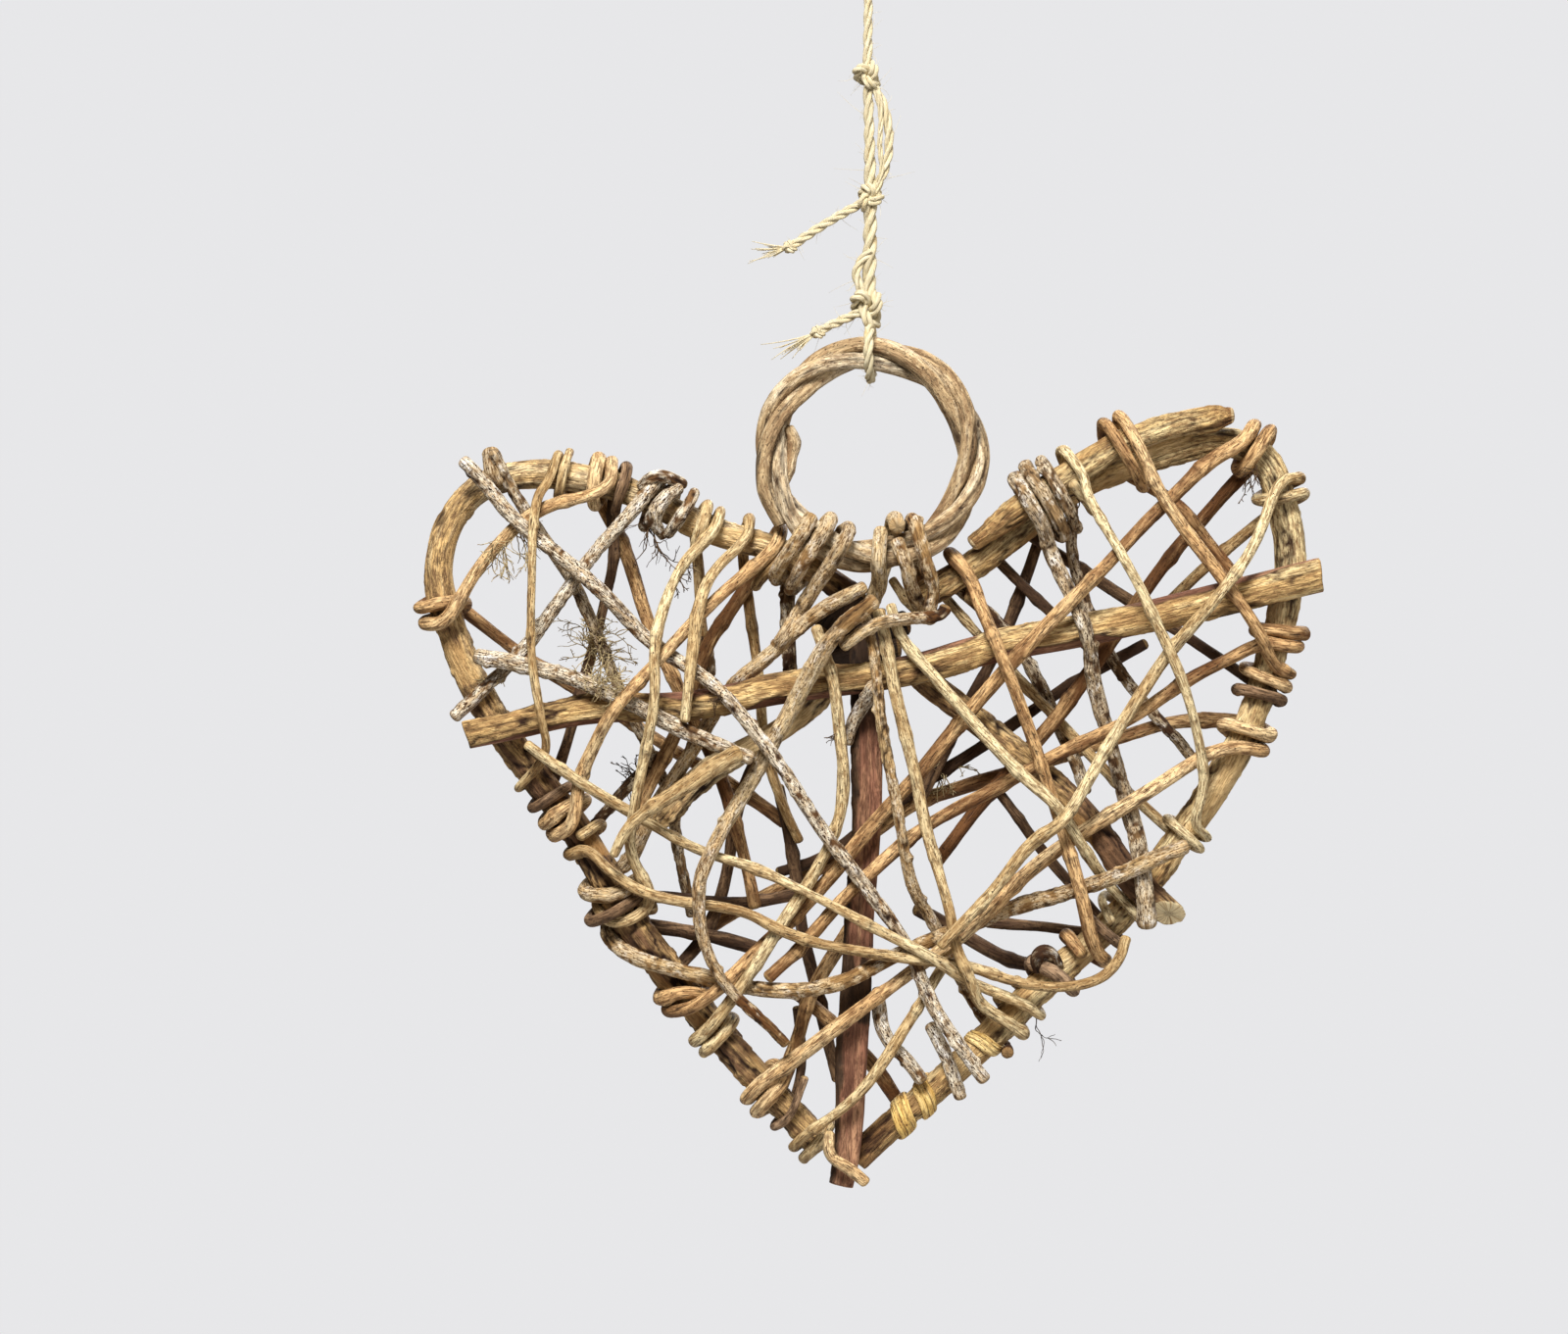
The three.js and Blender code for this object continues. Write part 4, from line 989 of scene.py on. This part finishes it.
def lichen_look(name):
    """Which of the three crusted barks a vine has."""
    if name.startswith(SPECKLED):
        return SPECKLED_BARK
    return WEATHERED_BARK if name in WEATHERED else CRUSTED


def crusted_piece(name, line, girth, tone, cover, material):
    """A vine with lichen on it."""
    def relief(*stem_values):
        return crust_relief(*stem_values, cover=cover)
    rings = stem(name, line, girth, tone, relief, CRUST_SIDES, CRUST_STEP,
                 spiral=0.02, wander=0.3, dome=WORN_ROUND)
    return skin(name + "_crusted", [rings], material)


RING_PLACE = (888, 465)
DOTS_PER_MM = 5


def seen_at(right, down, depth):
    """A point of the part from its place in the picture, where the ring's middle is known, and its depth."""
    height = (RING_PLACE[1] - down) / DOTS_PER_MM - HANG_HEIGHT
    return np.array(((right - RING_PLACE[0]) / DOTS_PER_MM, depth, height)) * MM


# The left tie is smoothed through every few of its points and on to its tucked end
TIE_EVERY = 8
TIE_END = [(801, 648, -1.0), (793, 660, 1.2)]
for name, slot in slot_of.items():
    if slot == "lichen_bark":
        girth = vine_radius(name) * np.array(CRUST_GIRTH.get(name, PLAIN_GIRTH))
        line = vine_line(name)
        if name == "ring_tie_left":
            line = rounded(np.concatenate([line[::TIE_EVERY], [seen_at(*place) for place in TIE_END]]))
        piece = crusted_piece(name, line, girth, CRUST_TONES.get(name, USUAL_TONE),
                              CRUST_COVER.get(name, USUAL_COVER), lichen_look(name))
        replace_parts(piece, name)

# The short ends: broken-off forks, knobs and tucked-in tails of the vines, crusted with lichen or dark and
# rough, left where they were pushed in. Each lies against the stick or vine that holds it.
# Each one's bark, its radii along it, its tone, how much lichen covers it, and its places
SHORT_ENDS = {
    "notch_fork": (CRUSTED, (1.5, 1.4, 1.1), 0.5, 0.5,
                   [(891, 700, -3.2), (885, 712, -1.0), (876, 726, 1.8), (868, 742, 2.6), (865, 757, 2.6)]),
    "left_lobe_knob": (SPECKLED_BARK, (1.7, 1.8, 2.0), 0.3, 0.0,
                       [(501, 462, 3.0), (503, 472, 2.4), (504, 480, 2.4), (507, 490, 3.0)]),
    "left_lobe_knot": (SPECKLED_BARK, (1.3, 1.6, 1.2), 0.25, -0.4,
                       [(573, 492, 7.5), (577, 502, 8.6), (584, 509, 9.4)]),
    "weave_knob": (WEATHERED_BARK, (1.2, 2.3, 1.9, 1.2), 0.3, -0.3,
                   [(714, 650, 12.4), (716, 662, 12.2), (720, 674, 12.2), (724, 688, 12.4)]),
    "flaky_turn_top": (CRUSTED, (1.0, 1.3, 1.1), 0.3, 0.0,
                       [(654, 496, 3.2), (665, 487, 1.8), (680, 486, 2.2), (697, 494, 4.4)]),
    "flaky_turn_left": (CRUSTED, (1.2, 1.4, 1.0), 0.2, 0.2,
                        [(692, 498, 3.2), (678, 508, 1.6), (668, 522, 1.6), (668, 536, 3.0),
                         (677, 546, 5.4)]),
    "flaky_turn_right": (CRUSTED, (1.0, 1.2, 1.0), 0.3, 0.1,
                         [(708, 502, 4.6), (703, 514, 2.2), (693, 530, 2.2), (681, 545, 5.2)]),
    "curled_knob": (WEATHERED_BARK, (1.2, 1.5, 1.4, 1.1), -0.1, -1.2,
                    [(1060, 990, 3.6), (1057, 978, 2.0), (1063, 969, 1.4), (1072, 971, 1.6),
                     (1080, 984, 3.2)]),
    "back_tail_left": (WEATHERED_BARK, (1.3, 1.2), 0.1, -0.7,
                       [(670, 772, 11.5), (655, 788, 11.2), (640, 802, 11.2), (606, 842, 11.2)]),
    "back_tail_notch": (WEATHERED_BARK, (1.4, 1.5, 1.3), 0.15, -0.7,
                        [(806, 568, 11.4), (804, 600, 9.6), (804, 640, 8.4), (806, 680, 7.0),
                         (807, 704, 5.8)]),
}


def picture_line(places):
    """A smooth line along places of the picture."""
    return rounded(np.array([seen_at(*place) for place in places]))


for name, (material, girth, tone, cover, places) in SHORT_ENDS.items():
    crusted_piece(name, picture_line(places), girth, tone, cover, material)

# The stubs at the notch: rough short stick ends of nearly black bark, pushed together between the
# frame, the stake and the cross stick so that they wedge the heart's two sides apart. Their near-black
# colour is partly dark bark and partly painted shade, the shadow deep in the notch.
NOTCH_STUBS = {
    "notch_stub": ((2.7, 2.6), (0.3, 0.2), [(874, 602, 7.0), (858, 618, 7.4), (843, 640, 7.8)]),
    "notch_block": ((2.6, 3.0, 2.7), (0.2, 0.3),
                    [(838, 652, 10.6), (866, 648, 10.6), (893, 645, 10.6), (924, 634, 10.6)]),
    "notch_wedge": ((2.4, 2.6, 2.2), (0.3, 0.2), [(843, 674, 9.8), (870, 670, 9.8), (916, 662, 9.8)]),
}
# Near-black colours: partly dark bark, partly painted shade deep in the notch
NOTCH_SHADE_COLOURS = "7d6040 4b3520 281a0e 0c0603"
NOTCH_SHADE_WOOD = "573e28 3c2918 24170b 110904"
NOTCH_SHADE_BARK = stick_material("notch_shade_bark", NOTCH_SHADE_COLOURS, NOTCH_SHADE_WOOD, "8a6840")
for name, (girth, tone, places) in NOTCH_STUBS.items():
    rings = stem(name, picture_line(places), girth, tone, stick_relief, STICK_SIDES, STICK_STEP, dome=0.6)
    skin(name + "_bark", [rings], NOTCH_SHADE_BARK)

# The loose tails: a thin golden vine's end at the notch, a last turn of vine on the left lobe and the ring's
# own loose strand. They are tucked in behind their neighbours and held by them.
LOOSE_TAILS = {
    "notch_tail": ("golden_bark", (0.9, 1.0), 0.45,
                   [(911, 592, 3.6), (920, 606, 3.0), (931, 619, 3.2), (940, 626, 4.4)]),
    "lobe_turn": ("golden_bark", (1.2, 1.3, 1.1), 0.55,
                  [(806, 559, 4.2), (796, 568, 2.4), (784, 581, 2.4), (774, 593, 4.6), (771, 598, 7.5)]),
    "ring_strand": ("ring_bark", (1.1, 1.6, 1.3, 1.6, 1.0), 0.4,
                    [(806, 438, 0.0), (812, 452, 0.5), (807, 470, 0.5), (801, 494, 0.0)]),
}
TAIL_STEP = 0.4
for name, (slot, girth, tone, places) in LOOSE_TAILS.items():
    relief = ring_relief if slot == "ring_bark" else shoot_relief
    rings = stem(name, picture_line(places), girth, tone, relief, SHOOT_SIDES, TAIL_STEP, dome=WORN_ROUND)
    skin(name + "_shoot", [rings], SHOOT_BARKS.get(slot, RING_BARK))

# The split bands: short lengths of thick yellow shoot, slit with a knife so that they lie flat, bent round
# the right frame stick near the tip to hold the vine ends. They have cracked along the grain.
# Where each one is, half its width and how far it drifts along the stick as it goes round
BANDS = {"band_upper": ((1007, 1067), 1.6, -0.65), "band_middle": ((946, 1122), 2.0, 1.05),
         "band_lower": ((921, 1140), 2.3, 1.05)}
BAND_STEPS = 70
BAND_SIDES = 96
BAND_TURN = (-25, 205)
BAND_HALF_THICKNESS = 0.5
BAND_GAP = 3.35
HEART_MIDDLE = np.array((0, 0.007, -0.155))


def nearest(line, place):
    """Which point of a line is nearest to a place of the picture."""
    spot = seen_at(*place, 0)
    return int(np.hypot(line[:, 0] - spot[0], line[:, 2] - spot[2]).argmin())


def band(name, place, half_width, lean):
    """A flat strip bent round the front of the right frame stick, split in three along its length."""
    rng = seeded(name)
    core = lines["frame_right"]
    k = nearest(core, place)
    ahead = unit(core[k + 6] - core[k - 6])
    out = unit(np.cross(ahead, (0, 1, 0)))
    flip = np.sign(out @ (core[k] - HEART_MIDDLE))
    out *= flip
    turn = np.radians(np.linspace(*BAND_TURN, BAND_STEPS))[:, None]
    away = -out * np.cos(turn) + np.array((0, -1, 0)) * np.sin(turn)
    drift = ahead * lean * (turn - math.pi / 2) + ahead * 0.15 * np.sin(3 * turn + rng.uniform(0, 6))
    middle = core[k] + (away * BAND_GAP + drift) * MM
    around = np.linspace(0, 2 * math.pi, BAND_SIDES, endpoint=False)[None, :]
    flat, high = -flip * np.cos(around), np.sin(around)
    spread = half_width * np.sign(flat) * np.abs(flat) ** 0.7 * (0.82 + 0.18 * np.sin(turn)) + 0 * turn
    along = turn * BAND_GAP - turn.min() * BAND_GAP
    # Two slits along each band, dented in and darkened: the darkening is painted shade in the slits
    split = sum(depth * np.exp(-((spread - at - 0.12 * np.sin(2.1 * turn + at)) / 0.09) ** 2)
                for at, depth in ((-0.42 * half_width, 0.9), (0.3 * half_width, 0.6)))
    split = np.clip(split, 0, 1) * (high > 0)
    thick = BAND_HALF_THICKNESS * np.sign(high) * np.abs(high) ** 0.8 - 0.25 * split
    rings = middle[:, None] + (spread[..., None] * ahead + thick[..., None] * away[:, None]) * MM
    grain = np.stack([spread, thick, along + 0 * spread], -1) + rng.uniform(0, GRAIN_SHIFT, 3)
    tone = 0.6 + 0 * spread
    return capped(rings, {"grain": grain, "tone": tone, "hollow": split, "cut": 0 * spread}, 0.1, 0.2)


BAND_BARK = shoot_material("yellow_split_bark", "eed59a dcb96c a97c3c 54351a", 0.6)
for name, (place, half_width, lean) in BANDS.items():
    skin(name + "_split", [band(name, place, half_width, lean)], BAND_BARK)

# The beard lichen: tufts of thin branching threads, pale grey-green or nearly black, that grew on the vines
# and dried where they are, and a few dead rootlets and one curled tendril.
# What each tuft grows on and where, which way, how long, how many threads, of which kind, and how branched
TUFTS = {
    "tuft_left": ("front_vine_07", (523, 548), (-0.3, -0.2, -1.0), 11, 6, 0, 2),
    "tuft_left_wrap": ("lichen_vine_01", (666, 542), (0.1, -0.1, -1.0), 17, 3, 1, 2),
    "tuft_inner": ("front_vine_04", (697, 584), (0.1, -0.2, -1.0), 5, 5, 1, 2),
    "tuft_big": ("back_vine_01", (600, 666), (0.6, -0.6, 0.5), 13, 16, 0, 2),
    "tuft_big_low": ("lichen_vine_04", (612, 692), (0.5, -0.3, 0.8), 11, 12, 0, 2),
    "tuft_cross": ("lichen_vine_02", (690, 768), (-0.4, -0.2, 0.4), 5, 5, 1, 2),
    "tuft_tail": ("back_tail_left", (648, 792), (-0.3, -0.3, 0.4), 7, 7, 1, 2),
    "tuft_edge": ("lichen_vine_01", (510, 698), (-0.2, -0.4, -0.6), 4, 4, 0, 2),
    "tuft_middle": ("front_vine_18", (848, 748), (-1.0, -0.2, 0.1), 3.5, 4, 1, 2),
    "tuft_right": ("back_vine_07", (972, 792), (0.4, -0.5, -0.8), 8, 6, 0, 2),
    "tuft_right_lobe": ("front_vine_08", (1275, 470), (0.1, -0.1, -1.0), 8, 4, 1, 2),
    "rootlet_low": ("front_vine_02", (1058, 1045), (-0.1, -0.1, -1.0), 16, 1, 1, 1),
}
THREAD_RADIUS = 0.15
THREAD_STEP = 0.55
TENDRIL_PLACE = (1094, 514, -1.2)
TENDRIL_RADIUS = 1.7
TENDRIL_TURNS = 1.15
TENDRIL_STEPS = 60


def threads(rng, root, heading, length, branchings):
    """A thread that wanders on from its root, with shorter threads branching off it."""
    steps = max(5, int(length / THREAD_STEP))
    line, grown = [root], []
    for k in range(steps):
        heading = unit(heading + rng.normal(0, 0.22, 3) - np.array((0, 0, 0.03)))
        line.append(line[-1] + heading * length / steps * MM)
        if branchings and rng.random() < 0.3:
            left = length * (1 - k / steps) * rng.uniform(0.4, 0.8)
            grown += threads(rng, line[-1], heading + rng.normal(0, 0.6, 3), left, branchings - 1)
    radius = THREAD_RADIUS * (0.6 + 0.2 * branchings) * np.linspace(1, 0.5, steps + 1)
    rings, _ = tube(np.array(line), radius * MM, 4)
    return [(rings, {"grain": rings / MM})] + grown


def thread_material(name, pale, dark):
    material, tree = new_material(name)
    spots = streak(tree, grain_of(tree), 1.0, 1.0, 0.35, 0.65)
    return finish_material(material, mixed(tree, spots, from_hex(dark), from_hex(pale)), spots, 0.00001, 0.9)


THREADS = (thread_material("beard_lichen", "b3a27c", "7d6a49"),
           thread_material("dry_rootlets", "54402c", "271a10"))
for name, (carrier, place, heading, length, count, kind, branchings) in TUFTS.items():
    rng = seeded(name)
    path = lines[carrier]
    k = nearest(path, place)
    grown = []
    for _ in range(count):
        root = path[np.clip(k + rng.integers(-5, 6), 0, len(path) - 1)]
        way = np.array(heading) + rng.normal(0, 0.35, 3)
        grown += threads(rng, root, way, length * rng.uniform(0.6, 1.1), branchings)
    skin(name, grown, THREADS[kind])

turn = np.linspace(0, TENDRIL_TURNS * 2 * math.pi, TENDRIL_STEPS)[:, None]
curl = np.concatenate([np.cos(turn), 0.25 * turn - 0.6, np.sin(turn)], 1)
curl = curl * np.linspace(1, 0.75, TENDRIL_STEPS)[:, None]
curl = seen_at(*TENDRIL_PLACE) + curl * TENDRIL_RADIUS * MM
rings, _ = tube(curl, 0.2 * MM * np.linspace(1, 0.6, TENDRIL_STEPS), 6)
skin("curled_tendril", [(rings, {"grain": rings / MM})], THREADS[1])
